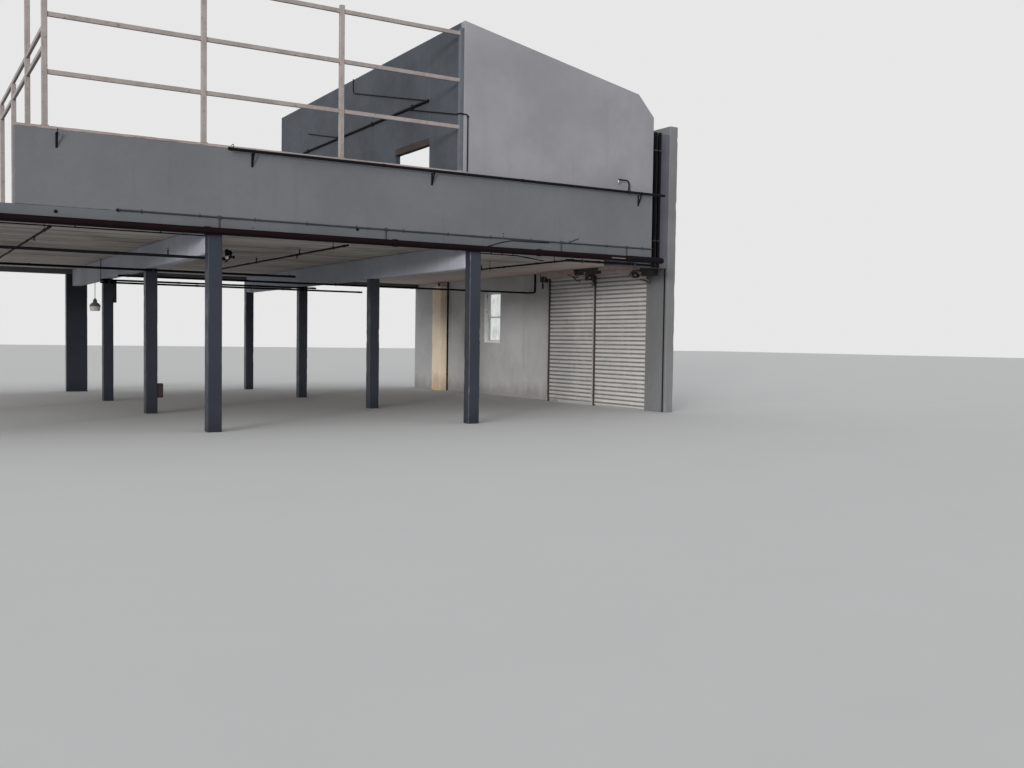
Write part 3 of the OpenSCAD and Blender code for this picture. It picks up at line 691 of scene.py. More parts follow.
def make_floor():
    weathered("floor_slab", "soffit_paint")
    # Both edge beams take the darker grey, which is painted shade
    worn_bars("front_edge_beam", "grey_wall_paint", 0, "edge_beam_shaded_paint", cut=0.008)
    weathered("corner_edge_beam", "grey_wall_paint", "edge_beam_shaded_paint")
    worn_bars("rear_edge_beam", "grey_wall_paint", 0)
    worn_bars("cross_beams", "beam_paint", 1, cut=0.012, chip=0.022)


def make_supports():
    for node in ("left_columns", "middle_columns", "room_columns", "wide_pier"):
        worn_bars(node, "column_paint", 2, cut=0.009, chip=0.020, chips=0.10, step=0.06)
    worn_bars("corner_pier", "grey_wall_paint", 2, "corner_pier_paint", cut=0.012, chip=0.02)
    worn_bars("wall_pier", "cream_paint", 2, cut=0.012, chip=0.03, chips=0.14, step=0.06)
    weathered("side_wall", "white_wall_paint")
    worn_bars("shutter_lintel", "grimy_concrete", 1, cut=0.012, chip=0.02)


def make_room():
    worn_bars("front_parapet", "grey_wall_paint", 0, cut=0.008, chip=0.012)
    worn_bars("parapet_cap", "cap_paint", 0, cut=0.005, chip=0.020, chips=0.22, step=0.05)
    weathered("room_front_wall", "room_wall_paint")
    worn_bars("room_notch_wall", "room_wall_paint", 2)
    # The end wall's dark grey is painted shade
    worn_bars("room_end_wall", "partition_paint", 2, "end_wall_shaded_paint")
    for node in ("partition_front_panel", "partition_over_doorway", "partition_rear_panel"):
        worn_bars(node, "partition_paint", 2)
    worn_bars("doorway_lintel", "brown_timber", 1, cut=0.004, chip=0.012, chips=0.2, step=0.05)


# Side wall's shutters and window

LAST_CURTAIN_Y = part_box("roller_shutters")[0].y + 0.1
SHEET = 3 * MM
BULGE = 17 * MM
LIP = 18 * MM
LAST_LIP = 40 * MM
CURTAIN_PARTS = 10
BOTTOM_BAR = 62 * MM
GUIDE_SIDE = 18 * MM
GUIDE_SLOT = 24 * MM
ROLL_SLATS = 5
ROLL_STEPS = 8
ROLL_BULGE = 11 * MM
HUB_OUT = 12 * MM
CHAIN_DROP = 0.34
CHAIN_LINKS = 26


def curtain_outline(front_x, low_z, high_z):
    """The section of a curtain of curved slats, up its front and down its back."""
    count = int((high_z - low_z) / SLAT)
    section = ((0.00, 0.06), (0.12, 0.42), (0.32, 0.90), (0.52, 1.0), (0.74, 0.86), (0.88, 0.40), (0.95, 0.0))
    front = []
    for i in range(count):
        for share, bulge in section:
            front.append((front_x + BULGE * (1 - bulge), high_z - (count - i - share) * SLAT))
    front.append((front_x + BULGE, high_z))
    return front + [(x + SHEET, z) for x, z in reversed(front)]


def make_curtains():
    """The curtains, and their bottom bars with bolts and two handles each."""
    shape = Shape()
    bars = Shape()
    rng = random.Random("curtains")
    for low, high in solids("roller_shutters"):
        flat = curtain_outline(low.x, low.z + 0.01, high.z)
        start = low.y - (LAST_LIP if low.y < LAST_CURTAIN_Y else LIP)
        rings = []
        for i in range(CURTAIN_PARTS + 1):
            y = start + (high.y + LIP - start) * i / CURTAIN_PARTS
            rings.append([(x + rng.uniform(-0.4, 0.4) * MM, y, z) for x, z in flat])
        shape.rings(rings)
        x = low.x
        top = low.z + BOTTOM_BAR
        bars.block((x - 2 * MM, low.y + 4 * MM, low.z), (high.x, high.y - 4 * MM, top), 4 * MM)
        bars.block((x - 16 * MM, low.y + 30 * MM, top - 8 * MM), (x, high.y - 30 * MM, top))
        for i in range(7):
            y = low.y + (high.y - low.y) * (i + 0.5) / 7
            bars.bolt((x - 2 * MM, y, low.z + BOTTOM_BAR * 0.45), -ALONG_X, 9 * MM)
        for y in (low.y + 0.42, high.y - 0.42):
            for leg in (y - 0.07, y + 0.055):
                bars.block((x - 22 * MM, leg, low.z + 0.075), (x + 4 * MM, leg + 0.015, low.z + 0.095))
            grip = ((x - 27 * MM, y - 0.07, low.z + 0.072), (x - 20 * MM, y + 0.07, low.z + 0.098))
            bars.block(*grip, 3 * MM)
    make(shape, "shutter_curtains", "shutter_paint", "roller_shutters")
    make(bars, "shutter_bottom_bars", "shutter_paint")


def slotted(low_x, high_x, y, deep):
    """One side of a guide, with the slot that a curtain runs in."""
    slot_low = low_x + GUIDE_SIDE
    slot_high = high_x - GUIDE_SIDE
    slot = [(slot_low, y), (slot_low, y + deep), (slot_high, y + deep), (slot_high, y)]
    return [(low_x, y), *slot, (high_x, y)]


def make_guides():
    """Channels with a slot on each side that has a curtain, and a dark strip beside the curtain that paints
    the shadow in the gap.
    """
    shape = Shape()
    end_shape = Shape()
    shadow_strips = Shape()
    fixings = Shape()
    places = sorted(solids("shutter_guides"), key=lambda pair: pair[0].y)
    for i, (low, high) in enumerate(places):
        if i == 0:
            lip = low.y + 25 * MM
            slot_high = high.x - GUIDE_SIDE
            section = [(low.x, low.y), (high.x, low.y), (high.x, high.y)]
            section += [(slot_high, high.y), (slot_high, lip), (low.x, lip)]
            bolt_y = low.y + 13 * MM
        else:
            section = slotted(low.x, high.x, low.y, GUIDE_SLOT)
            if i < len(places) - 1:
                section += slotted(low.x, high.x, high.y, -GUIDE_SLOT)[::-1]
            else:
                section += [(high.x, high.y), (low.x, high.y)]
            bolt_y = (low.y + high.y) / 2
            # A dark strip along the curtain's edge: painted shadow in the gap between guide and curtain
            shadow_strips.block((low.x - 4 * MM, low.y - 22 * MM, low.z), (low.x + 30 * MM, low.y + 26 * MM, high.z))
        channel = shape if i else end_shape
        channel.extrude([(x, y, 0) for x, y in section], (0, 0, low.z), (0, 0, high.z))
        for k in range(6):
            z = low.z + 0.25 + k * (high.z - low.z - 0.5) / 5
            fixings.bolt((low.x, bolt_y, z), -ALONG_X, 9 * MM)
    make(end_shape, "shutter_end_guide", "shutter_paint", look="corner_pier_paint")
    make(shape, "shutter_guide_channels", "shutter_paint", "shutter_guides", look="guide_paint")
    make(shadow_strips, "shutter_guide_shadow_strips", "dark_steel", look="guide_shadow_paint")
    make(fixings, "shutter_guide_fixings", "dark_steel")


def make_chain(chains, hang, way):
    """A loop of links that hangs beside a roll."""
    link = [(-5 * MM, 1 * MM), (-3 * MM, 4 * MM), (3 * MM, 4 * MM), (5 * MM, 1 * MM)]
    for side in (0.0, 0.026):
        for i in range(CHAIN_LINKS):
            at = hang + Vector((-side * 0.2, side * way * 0.3, -CHAIN_DROP * i / CHAIN_LINKS))
            at.x += 6 * MM * math.sin(i * 0.35 + side * 40)
            chains.lathe(link, at, UP, 6)


def make_rolls():
    """The barrels with a few turns of curtain, their end plates, gear and chains."""
    turns = Shape()
    steel = Shape()
    chains = Shape()
    rolls = sorted(solids("shutter_rolls"), key=lambda pair: pair[0].y)
    steps = ROLL_SLATS * ROLL_STEPS
    for low, high in rolls:
        radius = (high.z - low.z) / 2
        centre = Vector(((low.x + high.x) / 2, 0, (low.z + high.z) / 2))
        section = []
        for i in range(steps):
            turn = 2 * math.pi * i / steps
            bulge = math.sin(math.pi * (i % ROLL_STEPS) / ROLL_STEPS) ** 0.5
            reach = radius - ROLL_BULGE * (1 - bulge)
            section.append(centre + Vector((math.cos(turn), 0, math.sin(turn))) * reach)
        turns.extrude(section, (0, low.y + 22 * MM, 0), (0, high.y - 22 * MM, 0))
        disc = [(0, radius * 0.97), (7 * MM, radius * 0.97), (7 * MM, radius * 0.5), (22 * MM, radius * 0.45)]
        for y, way in ((low.y, ALONG_Y), (high.y, -ALONG_Y)):
            steel.lathe(disc, centre + ALONG_Y * y, way, 28)
    cut = 0.05
    for low, high in solids("shutter_brackets"):
        section = [
            (low.x, low.z + cut), (low.x + cut, low.z), (high.x, low.z), (high.x, high.z), (low.x, high.z),
        ]
        steel.extrude([(x, 0, z) for x, z in section], (0, low.y, 0), (0, high.y, 0))
    front = rolls[0]
    rear = rolls[-1]
    hub = [
        (0, 0.045), (0.012, 0.045), (0.012, 0.082), (0.020, 0.086), (0.030, 0.072), (0.040, 0.086),
        (0.048, 0.082), (0.048, 0.030), (0.060, 0.030),
    ]
    for (low, high), y, way in ((rear, rear[1].y, 1), (front, front[0].y, -1)):
        centre = Vector(((low.x + high.x) / 2, y + way * HUB_OUT, (low.z + high.z) / 2))
        steel.lathe(hub, centre, (0, way, 0), 26)
        for i in range(6):
            turn = 2 * math.pi * i / 6
            spot = centre + Vector((math.cos(turn) * 0.060, way * 0.048, math.sin(turn) * 0.060))
            steel.bolt(spot, (0, way, 0), 7 * MM)
        make_chain(chains, centre + Vector((-0.079, way * 0.030, 0)), way)
    low, high = front
    motor = Vector((low.x + 0.045, low.y - 0.085, (low.z + high.z) / 2 + 0.01))
    steel.block(motor - Vector((0.06, 0.05, 0.055)), motor + Vector((0.05, 0.012, 0.075)), 8 * MM)
    low, high = rear
    hook = Vector((low.x, low.y + (high.y - low.y) * 0.30, low.z))
    catch = (
        (0.10, 0.0, -0.005), (0.03, 0.0, -0.022), (-0.02, 0.03, -0.012),
        (-0.05, 0.10, 0.02), (-0.045, 0.26, 0.055),
    )
    steel.pipe([hook + Vector(step) for step in catch], 11 * MM, 0.03, 10)
    make(turns, "shutter_barrels", "dark_steel", "shutter_rolls", look="dusty_roll_steel")
    make(steel, "shutter_end_plates", "dark_steel", "shutter_brackets")
    make(chains, "shutter_chains", "dark_steel", look="worn_silver")


# What hangs about the rolls, each block as its lowest and its highest corner
HEADER_BLOCKS = (
    ((7.27, -1.02, 3.10), (7.52, -0.93, 3.34)), ((7.33, -1.00, 2.93), (7.36, -0.91, 3.12)),
    ((7.26, -3.54, 3.20), (7.33, -2.52, 3.35)), ((7.28, -3.29, 2.92), (7.33, -3.22, 3.30)),
    ((7.27, -3.15, 3.06), (7.34, -2.96, 3.22)), ((7.28, -5.40, 3.08), (7.56, -5.08, 3.30)),
    ((7.30, -5.36, 2.96), (7.34, -5.30, 3.10)),
)
HEADER_COVERS = (((7.22, -2.52, 3.235), (7.235, -1.05, 3.354)), ((7.24, -4.85, 3.27), (7.255, -3.54, 3.354)))
HEADER_DARK_RODS = (
    ((7.24, -2.17, 3.35), (7.24, -2.66, 3.31)),
    ((7.24, -2.49, 3.17), (7.24, -2.64, 3.07), (7.24, -2.80, 3.05)),
    ((7.30, -1.09, 3.26), (7.24, -1.19, 3.28)), ((7.30, -5.10, 3.00), (7.28, -5.42, 2.93)),
    ((7.28, -4.70, 3.10), (7.26, -4.86, 3.20), (7.28, -5.08, 3.20)),
)
HEADER_PALE_RODS = (
    ((7.26, -1.10, 3.09), (7.26, -1.23, 2.96)), ((7.24, -4.77, 3.27), (7.24, -5.00, 3.34)),
    ((7.24, -5.02, 3.18), (7.25, -5.25, 3.04), (7.26, -5.44, 2.95)),
    ((7.25, -3.27, 3.05), (7.25, -3.36, 2.90)),
)
HEADER_KNOBS = (
    (7.24, -1.20, 3.28), (7.25, -4.98, 3.10), (7.25, -5.16, 3.15), (7.25, -2.98, 3.24), (7.25, -3.20, 3.12),
)
HEADER_DRUM = (7.31, -4.90, 3.11)


def make_header():
    """Gear cases, a motor, hooks, loose ends and a rusty cover plate over the shutters."""
    dark = Shape()
    covers = Shape()
    pale = Shape()
    for low, high in HEADER_BLOCKS:
        dark.block(low, high, 8 * MM)
    for low, high in HEADER_COVERS:
        covers.bar(low, high, 1, "cover" + str(low[1]), cut=4 * MM, chip=10 * MM, chips=0.3, step=0.12)
    for path in HEADER_DARK_RODS:
        dark.pipe(path, 16 * MM, 0.03, 10)
    for path in HEADER_PALE_RODS:
        pale.pipe(path, 9 * MM, 0.03, 8)
    knob = [(-24 * MM, 6 * MM), (-18 * MM, 20 * MM), (18 * MM, 20 * MM), (24 * MM, 6 * MM)]
    for spot in HEADER_KNOBS:
        pale.lathe(knob, spot, ALONG_Y, 12)
    dark.lathe([(-0.07, 0.030), (-0.06, 0.072), (0.05, 0.078), (0.06, 0.030)], HEADER_DRUM, ALONG_Y, 24)
    make(dark, "shutter_gear_cases", "dark_steel")
    make(covers, "shutter_cover_plates", "dark_steel", look="dusty_roll_steel")
    make(pale, "shutter_gear_ends", "dark_steel", look="worn_silver")


WINDOW_BAR = 50 * MM
THIN_BAR = 24 * MM
PUTTY = 9 * MM
LINING = 5 * MM


def make_window():
    """A steel frame with two lights, putty lines, a lined reveal, hinges and a catch. The frame and the
    lining are a glossy near-white, partly their own white paint and partly painted light for the daylight
    glare.
    """
    low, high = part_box("window_frame")
    wall_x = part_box("side_wall")[0].x
    shape = Shape()
    middle = (low.z + high.z) / 2
    bottom = low.z + WINDOW_BAR
    top = high.z - WINDOW_BAR
    left = low.y + WINDOW_BAR
    right = high.y - WINDOW_BAR
    thin_low = middle - THIN_BAR / 2
    thin_high = middle + THIN_BAR / 2
    for y in (low.y, right):
        shape.block((low.x, y, low.z), (high.x, y + WINDOW_BAR, high.z), 4 * MM)
    for z_low, z_high in ((low.z, bottom), (thin_low, thin_high), (top, high.z)):
        shape.block((low.x, left, z_low), (high.x, right, z_high), 4 * MM)
    pane_x = (low.x + high.x) / 2 + 4 * MM
    for z_low, z_high in ((bottom, thin_low), (thin_high, top)):
        for x in (pane_x, pane_x - 8 * MM - PUTTY):
            for y in (left, right - PUTTY):
                shape.block((x, y, z_low), (x + PUTTY, y + PUTTY, z_high), 3 * MM)
            for z in (z_low, z_high - PUTTY):
                shape.block((x, left + PUTTY, z), (x + PUTTY, right - PUTTY, z + PUTTY), 3 * MM)
    shape.block((wall_x - 9 * MM, low.y, low.z - 0.022), (low.x, high.y, low.z + 0.004), 4 * MM)
    make(shape, "window_bars", "white_metal_paint", "window_frame", look="window_white_and_glare_paint")
    # A thin bright lining in the reveal: painted light, where daylight floods the reveal
    lining = Shape()
    lining.block((wall_x + 4 * MM, high.y - LINING, low.z), (low.x, high.y, high.z), 1 * MM)
    lining.block((wall_x + 4 * MM, low.y, high.z - LINING), (low.x, high.y - LINING, high.z), 1 * MM)
    make(lining, "window_reveal_glare_lining", "white_metal_paint", look="window_white_and_glare_paint")
    catch = Shape()
    for z in (middle + 0.12, high.z - 0.16):
        catch.lathe([(0, 7 * MM), (70 * MM, 7 * MM)], (low.x - 4 * MM, high.y - WINDOW_BAR / 2, z), UP, 10)
    y = low.y + 26 * MM
    catch.block((low.x - 14 * MM, y - 11 * MM, middle + 0.24), (low.x, y + 11 * MM, middle + 0.30), 3 * MM)
    turn = [(-8 * MM, 0.27), (-30 * MM, 0.27), (-30 * MM, 0.17)]
    catch.pipe([(low.x + out, y, middle + rise) for out, rise in turn], 5 * MM, 0.012, 8)
    make(catch, "window_catches", "white_metal_paint", look="dull_brass")
    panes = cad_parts["window_glass"].data.materials
    panes.clear()
    panes.append(PAINTS["window_glass"])


# Rails

COLLAR = 16 * MM
POST_FOOT = 0.035
FOOT_PLATE = 8 * MM


def square_tube(shape, low, high, along, seed):
    shape.bar(low, high, along, seed, cut=6 * MM, chip=2 * MM, chips=0.04, step=0.18)


def weld(shape, low, high, along):
    """An uneven bead round each end of a rail, where it meets a post."""
    rng = random.Random(str(round(low[0], 2)) + str(round(low[2], 2)) + str(along))
    grow = 5 * MM
    first = low - Vector((grow, grow, grow))
    last = high + Vector((grow, grow, grow))
    for end, way in ((low[along], 1), (high[along], -1)):
        rings = []
        for out, width in ((0.0, 1.0), (0.5, 0.8), (1.0, 0.0)):
            cuts = [8 * MM * rng.uniform(0.8, 1.2) for _ in range(4)]
            inset = grow * (1 - width) + rng.uniform(0, 1) * MM
            rings.append(outline(first, last, along, end + way * out * 9 * MM, cuts, inset))
        shape.rings(rings)


def make_rail_run(node, along, seed, welds):
    """The rails of a node as square tubes, with a weld at each end."""
    rails = Shape()
    for i, (low, high) in enumerate(solids(node)):
        square_tube(rails, low, high, along, seed + str(i))
        weld(welds, low, high, along)
    make(rails, node[:-1] + "_tubes", "rail_paint", node)


def make_rails():
    posts = Shape()
    corner_post = Shape()
    collars = Shape()
    places = solids("guard_rail_posts")
    rim = Vector((2 * MM, 2 * MM, 0))
    for i, (low, high) in enumerate(places):
        post = corner_post if i == len(places) - 1 else posts
        square_tube(post, low, high, 2, "post" + str(i))
        post.block(Vector((*low.xy, high.z - 5 * MM)) - rim, high + rim)
        start = low - Vector((COLLAR, COLLAR * 0.7, 0))
        collars.block(start, (high.x + COLLAR, high.y + COLLAR, low.z + 14 * MM), 6 * MM)
    make(posts, "guard_rail_post_tubes", "rail_paint", "guard_rail_posts")
    make(corner_post, "room_corner_post", "rail_paint", look="corner_post_paint")
    make(collars, "post_mortar_collars", "cap_paint")
    welds = Shape()
    make_rail_run("guard_rails", 0, "rail", welds)
    back = Shape()
    foot = Vector((POST_FOOT, POST_FOOT, 0))
    for i, (low, high) in enumerate(solids("return_rail_posts")):
        square_tube(back, low, high, 2, "back_post" + str(i))
        top = low.z + FOOT_PLATE
        back.block(low - foot, Vector((*high.xy, top)) + foot)
        spread = (high.x - low.x) / 2 + POST_FOOT * 0.5
        for dx in (-spread, spread):
            for dy in (-spread, spread):
                back.bolt(((low.x + high.x) / 2 + dx, (low.y + high.y) / 2 + dy, top), UP, 8 * MM)
    make(back, "return_rail_post_tubes", "rail_paint", "return_rail_posts")
    make_rail_run("return_rails", 1, "side_rail", welds)
    make(welds, "rail_welds", "rail_paint")


# Pipes

WRAP_LENGTH = 0.92
WRAP_TURNS = 12
TAPE_START = 5.03
TAPE_END = 5.38


def lying(node):
    """A level pipe's lowest and highest corner, its axis' Y and Z, and its radius."""
    low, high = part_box(node)
    return low, high, (low.y + high.y) / 2, (low.z + high.z) / 2, (high.z - low.z) / 2


def make_main_pipe():
    low, high, y, z, radius = lying("main_pipe")
    pipe = Shape()
    path = jittered((low.x, y, z), (high.x, y, z), 26, random.Random("main_pipe"), -1.2, 1.2)
    pipe.sweep(path, radius - 1.2 * MM, 28)
    cap = [(0, radius * 0.82), (4 * MM, radius), (40 * MM, radius), (44 * MM, radius * 0.95)]
    for x, way in ((low.x, ALONG_X), (high.x, -ALONG_X)):
        pipe.lathe(cap, (x, y, z), way, 28)
    make(pipe, "main_pipe_run", "red_pipe_paint", "main_pipe")
    wrap = Shape()
    wide = WRAP_LENGTH / WRAP_TURNS - 4 * MM
    for i in range(WRAP_TURNS):
        at = high.x - WRAP_LENGTH + i * (WRAP_LENGTH - 0.01) / WRAP_TURNS
        swell = radius + (3 + i % 2 * 2) * MM
        turn = [(0, radius), (3 * MM, swell), (wide - 3 * MM, swell - 1 * MM), (wide, radius)]
        wrap.lathe(turn, (at, y, z), ALONG_X, 24)
    make(wrap, "main_pipe_end_wrap", "black_pipe_paint", look="pipe_wrap")
    tape = Shape()
    face = y - radius
    tape.block((TAPE_START, face - 3 * MM, z - 16 * MM), (TAPE_END, face + 9 * MM, z + 1 * MM))
    make(tape, "main_pipe_tape", "white_metal_paint", look="worn_tape")

    joints = Shape()
    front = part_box("front_edge_beam")[0].y
    for low, high in solids("main_pipe_joints"):
        middle = Vector(((low.x + high.x) / 2, y, z))
        rim = (high.z - low.z) / 2 - radius
        half = (high.x - low.x) / 2
        profile = [
            (0, radius), (0, radius + rim * 0.55), (8 * MM, radius + rim), (30 * MM, radius + rim),
            (34 * MM, radius + rim * 0.5), (half - 4 * MM, radius + rim * 0.4), (half - 2 * MM, radius),
        ]
        for way in (-ALONG_X, ALONG_X):
            joints.lathe(profile, middle - way * half, way, 28)
        size = Vector((22 * MM, 12 * MM, 7 * MM))
        for side in (-UP, UP):
            pad = middle + side * (radius + 2 * MM)
            joints.block(pad - size, pad + size, 3 * MM)
            for shift in (-13 * MM, 13 * MM):
                joints.bolt(pad + ALONG_X * shift + side * size.z, side, 6 * MM)
        joints.block((low.x + 20 * MM, y + radius * 0.9, z - 8 * MM), (high.x - 20 * MM, front, z + 8 * MM))
        joints.block((low.x + 6 * MM, front - 6 * MM, z - 0.035), (high.x - 6 * MM, front, z + 0.035))
    make(joints, "main_pipe_couplings", "red_pipe_paint", "main_pipe_joints")


def make_top_pipe():
    low, high, y, z, radius = lying("top_pipe")
    pipe = Shape()
    part = (high.x - low.x) / 18
    run = jittered((low.x + part, y, z), (high.x - part, y, z), 16, random.Random("top_pipe"), -1.0, 0.3)
    pipe.sweep([(low.x + radius, y, z), *run, (high.x, y, z)], radius, 16)
    pipe.pipe([(low.x + 0.02, y, z), (low.x + 0.005, y, z), (low.x - 0.022, y, z + 0.010)], radius, 0.05)
    for share in (0.0, 0.30, 0.62, 0.90):
        x = low.x + 0.03 + (high.x - low.x - 0.08) * share
        pipe.coupling((x, y, z), ALONG_X, radius - 0.5 * MM, 52 * MM, 6 * MM)
    cap_low, cap_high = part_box("parapet_cap")
    strap = [(y, z + radius), (y + 0.02, cap_high.z + 0.012), (cap_low.y + 0.03, cap_high.z + 0.012)]
    pipe.pipe([(low.x + 0.07, *step) for step in strap], 6 * MM, 0.012, 8)
    make(pipe, "top_pipe_run", "black_pipe_paint", "top_pipe")

    brackets = Shape()
    leaf = 5 * MM
    hold = radius + 4 * MM
    for low, high in solids("top_pipe_brackets"):
        middle = (low.x + high.x) / 2
        top = high.z
        wall = high.y
        brackets.block((low.x, low.y, top - leaf), high, 1.5 * MM)
        brackets.block((low.x, wall - leaf, low.z), high, 1.5 * MM)
        strut = [
            (0, low.y + 2 * MM, top - leaf), (0, low.y + 14 * MM, top - leaf),
            (0, wall - leaf, low.z + 26 * MM), (0, wall - leaf, low.z + 8 * MM),
        ]
        brackets.extrude(strut, (low.x + 4 * MM, 0, 0), (high.x - 4 * MM, 0, 0))
        for share in (0.25, 0.85):
            spot = (middle, wall - leaf, low.z + (top - low.z) * share - 10 * MM)
            brackets.bolt(spot, -ALONG_Y, 7 * MM)
        turns = [math.pi * i / 12 for i in range(13)]
        loop = [(middle, y + math.cos(turn) * hold, z + math.sin(turn) * hold) for turn in turns]
        ends = [(middle, y + hold, top - 12 * MM), (middle, y - hold, top - 12 * MM)]
        brackets.sweep([ends[0], *loop, ends[1]], 3.5 * MM, 8)
    make(brackets, "top_pipe_wall_brackets", "black_pipe_paint", "top_pipe_brackets")


def make_gooseneck():
    low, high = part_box("gooseneck")
    radius = (high.y - low.y) / 2
    tube = radius * 0.86
    x = high.x - radius
    y = (low.y + high.y) / 2
    z = high.z - radius
    shape = Shape()
    shape.pipe([(x, y, low.z - 0.01), (x, y, z), (low.x + 0.02, y, z)], tube, 0.07, 16)
    shape.coupling((x, y, low.z + 0.035), UP, tube, 0.05, 4 * MM)
    shape.coupling((low.x + 0.03, y, z), ALONG_X, tube, 0.045, 4 * MM)
    make(shape, "gooseneck_bend", "black_pipe_paint", "gooseneck")
    tip = Shape()
    spot = (low.x + 0.012, y, z - 0.006)
    nozzle = [(0, 0.012), (0.02, 0.014), (0.025, 0.019), (0.045, 0.019), (0.05, 0.010), (0.06, 0.008)]
    tip.lathe(nozzle, spot, (-0.2, 0, -1), 14)
    tip.lathe([(0.058, 0.004), (0.06, 0.022), (0.063, 0.022), (0.064, 0.003)], spot, (-0.2, 0, -1), 16)
    make(tip, "gooseneck_nozzle", "black_pipe_paint", look="worn_silver")


def make_conduit():
    parts = solids("conduit")
    run = max(parts, key=lambda pair: pair[1].x - pair[0].x)
    low, high = run
    radius = (high.z - low.z) / 2
    tube = radius - 1 * MM
    y = (low.y + high.y) / 2
    z = (low.z + high.z) / 2
    rng = random.Random("conduit")
    shape = Shape()
    shape.sweep(jittered((low.x, y, z), (high.x, y, z), 40, rng, -1.5, 1.5), tube)
    for i in range(1, 10):
        x = low.x + 0.12 + (high.x - low.x - 0.3) * i / 10 + rng.uniform(-0.08, 0.08)
        shape.coupling((x, y, z), ALONG_X, tube, 60 * MM, 3 * MM)
    end = [(0, 8 * MM), (4 * MM, radius * 1.35), (26 * MM, radius * 1.35), (30 * MM, radius)]
    shape.lathe(end, (low.x, y, z), ALONG_X, 16)
    for drop_low, drop_high in parts:
        if drop_low is low:
            continue
        x = (drop_low.x + drop_high.x) / 2
        shape.sweep([(x, y, drop_low.z), (x, y, drop_high.z)], (drop_high.x - drop_low.x) / 2 - 1 * MM, 12)
        shape.coupling((x, y, z), ALONG_X, tube, 0.07, 5 * MM)
        shape.block((x - 0.022, y - radius - 6 * MM, z - 0.024), (x + 0.022, y + radius, z + 0.024), 4 * MM)
    make(shape, "conduit_run", "grey_pipe_paint", "conduit", look="conduit_paint")

    saddles = Shape()
    front = high.y
    half = 9 * MM
    for i in range(12):
        x = low.x + 0.35 + i * (high.x - low.x - 0.6) / 11
        reach = radius + 1 * MM
        saddles.block((x - half, y - radius - 2 * MM, z - reach), (x + half, front, z + reach))
        for side in (-1, 1):
            at = z + side * (radius + 11 * MM)
            saddles.block((x - half, front - 3 * MM, at - 11 * MM), (x + half, front, at + 11 * MM), 1 * MM)
            saddles.bolt((x, front - 3 * MM, at), -ALONG_Y, 4 * MM)
    make(saddles, "conduit_saddles", "dark_steel", look="conduit_paint")


# For each sprinkler pipe, from left to right, its heads' places along Y, and whether each points up
SPRINKLER_HEADS = (
    ((-4.66, False),),
    ((-1.42, True), (-4.14, True), (-4.00, False)),
    ((-2.88, True),),
)
FRONT_TEE_X = -3.475


def sprinkler_head(shape, base, up):
    """A short nipple with a frame and a deflector, pointing up or down."""
    way = UP if up else -UP
    base = Vector(base)
    reach = 0.105 if up else 0.06
    nipple = ((0, 0.013), (0.55, 0.013), (0.55, 0.018), (0.72, 0.018), (0.72, 0.008))
    shape.lathe([(reach * share, wide) for share, wide in nipple], base, way, 10)
    for side in (-1, 1):
        arm = ((0.70, 0.014), (0.85, 0.018), (0.97, 0.004))
        shape.sweep([base + way * reach * share + ALONG_X * side * wide for share, wide in arm], 2.6 * MM, 6)
    deflector = ((0.96, 0.004), (0.97, 0.026), (1.0, 0.028), (1.0, 0.003))
    shape.lathe([(reach * share, wide) for share, wide in deflector], base, way, 14)


def front_pipe():
    """The front one of the pipes under the beams, which starts at the floor's left edge."""
    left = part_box("floor_slab")[0].x
    runs = [pair for pair in solids("hung_pipes") if pair[0].x < left + 0.5]
    return min(runs, key=lambda pair: pair[0].y)


def make_hung_pipes():
    pipes = Shape()
    heads = Shape()
    rosettes = Shape()
    rng = random.Random("hung_pipes")
    bays = iter(SPRINKLER_HEADS)
    for low, high in solids("hung_pipes"):
        size = high - low
        along = 0 if size.x > size.y else 1
        axis = ALONG_Y if along else ALONG_X
        radius = size.z / 2
        tube = radius - 1.5 * MM
        middle = (low + high) / 2
        start = middle.copy()
        start[along] = low[along]
        reach = axis * size[along]
        pipes.sweep(jittered(start, start + reach, round(size[along] / 0.6), rng, -2.0, 1.0), tube, 16)
        for share in (0.02, 0.34, 0.67, 0.985):
            pipes.coupling(start + reach * share, axis, tube, 0.06, 5 * MM)
        if along == 0:
            continue
        for y, up in next(bays):
            tee = Vector((middle.x, y, middle.z))
            pipes.coupling(tee, axis, tube, 0.075, 4 * MM)
            way = UP if up else -UP
            sprinkler_head(heads, tee + way * radius * 0.8, up)
            if not up:
                plate = [(0, 0.014), (1 * MM, 0.036), (4 * MM, 0.038), (5 * MM, 0.014)]
                rosettes.lathe(plate, tee + way * (radius * 0.8 + 0.022), way, 18)
    low, high = front_pipe()
    sprinkler_head(heads, (FRONT_TEE_X, (low.y + high.y) / 2, high.z - 4 * MM), True)
    make(pipes, "sprinkler_pipe_runs", "black_pipe_paint", "hung_pipes")
    make(heads, "sprinkler_heads", "dark_steel", look="dull_brass")
    make(rosettes, "sprinkler_rosettes", "dark_steel", look="pale_rosette")


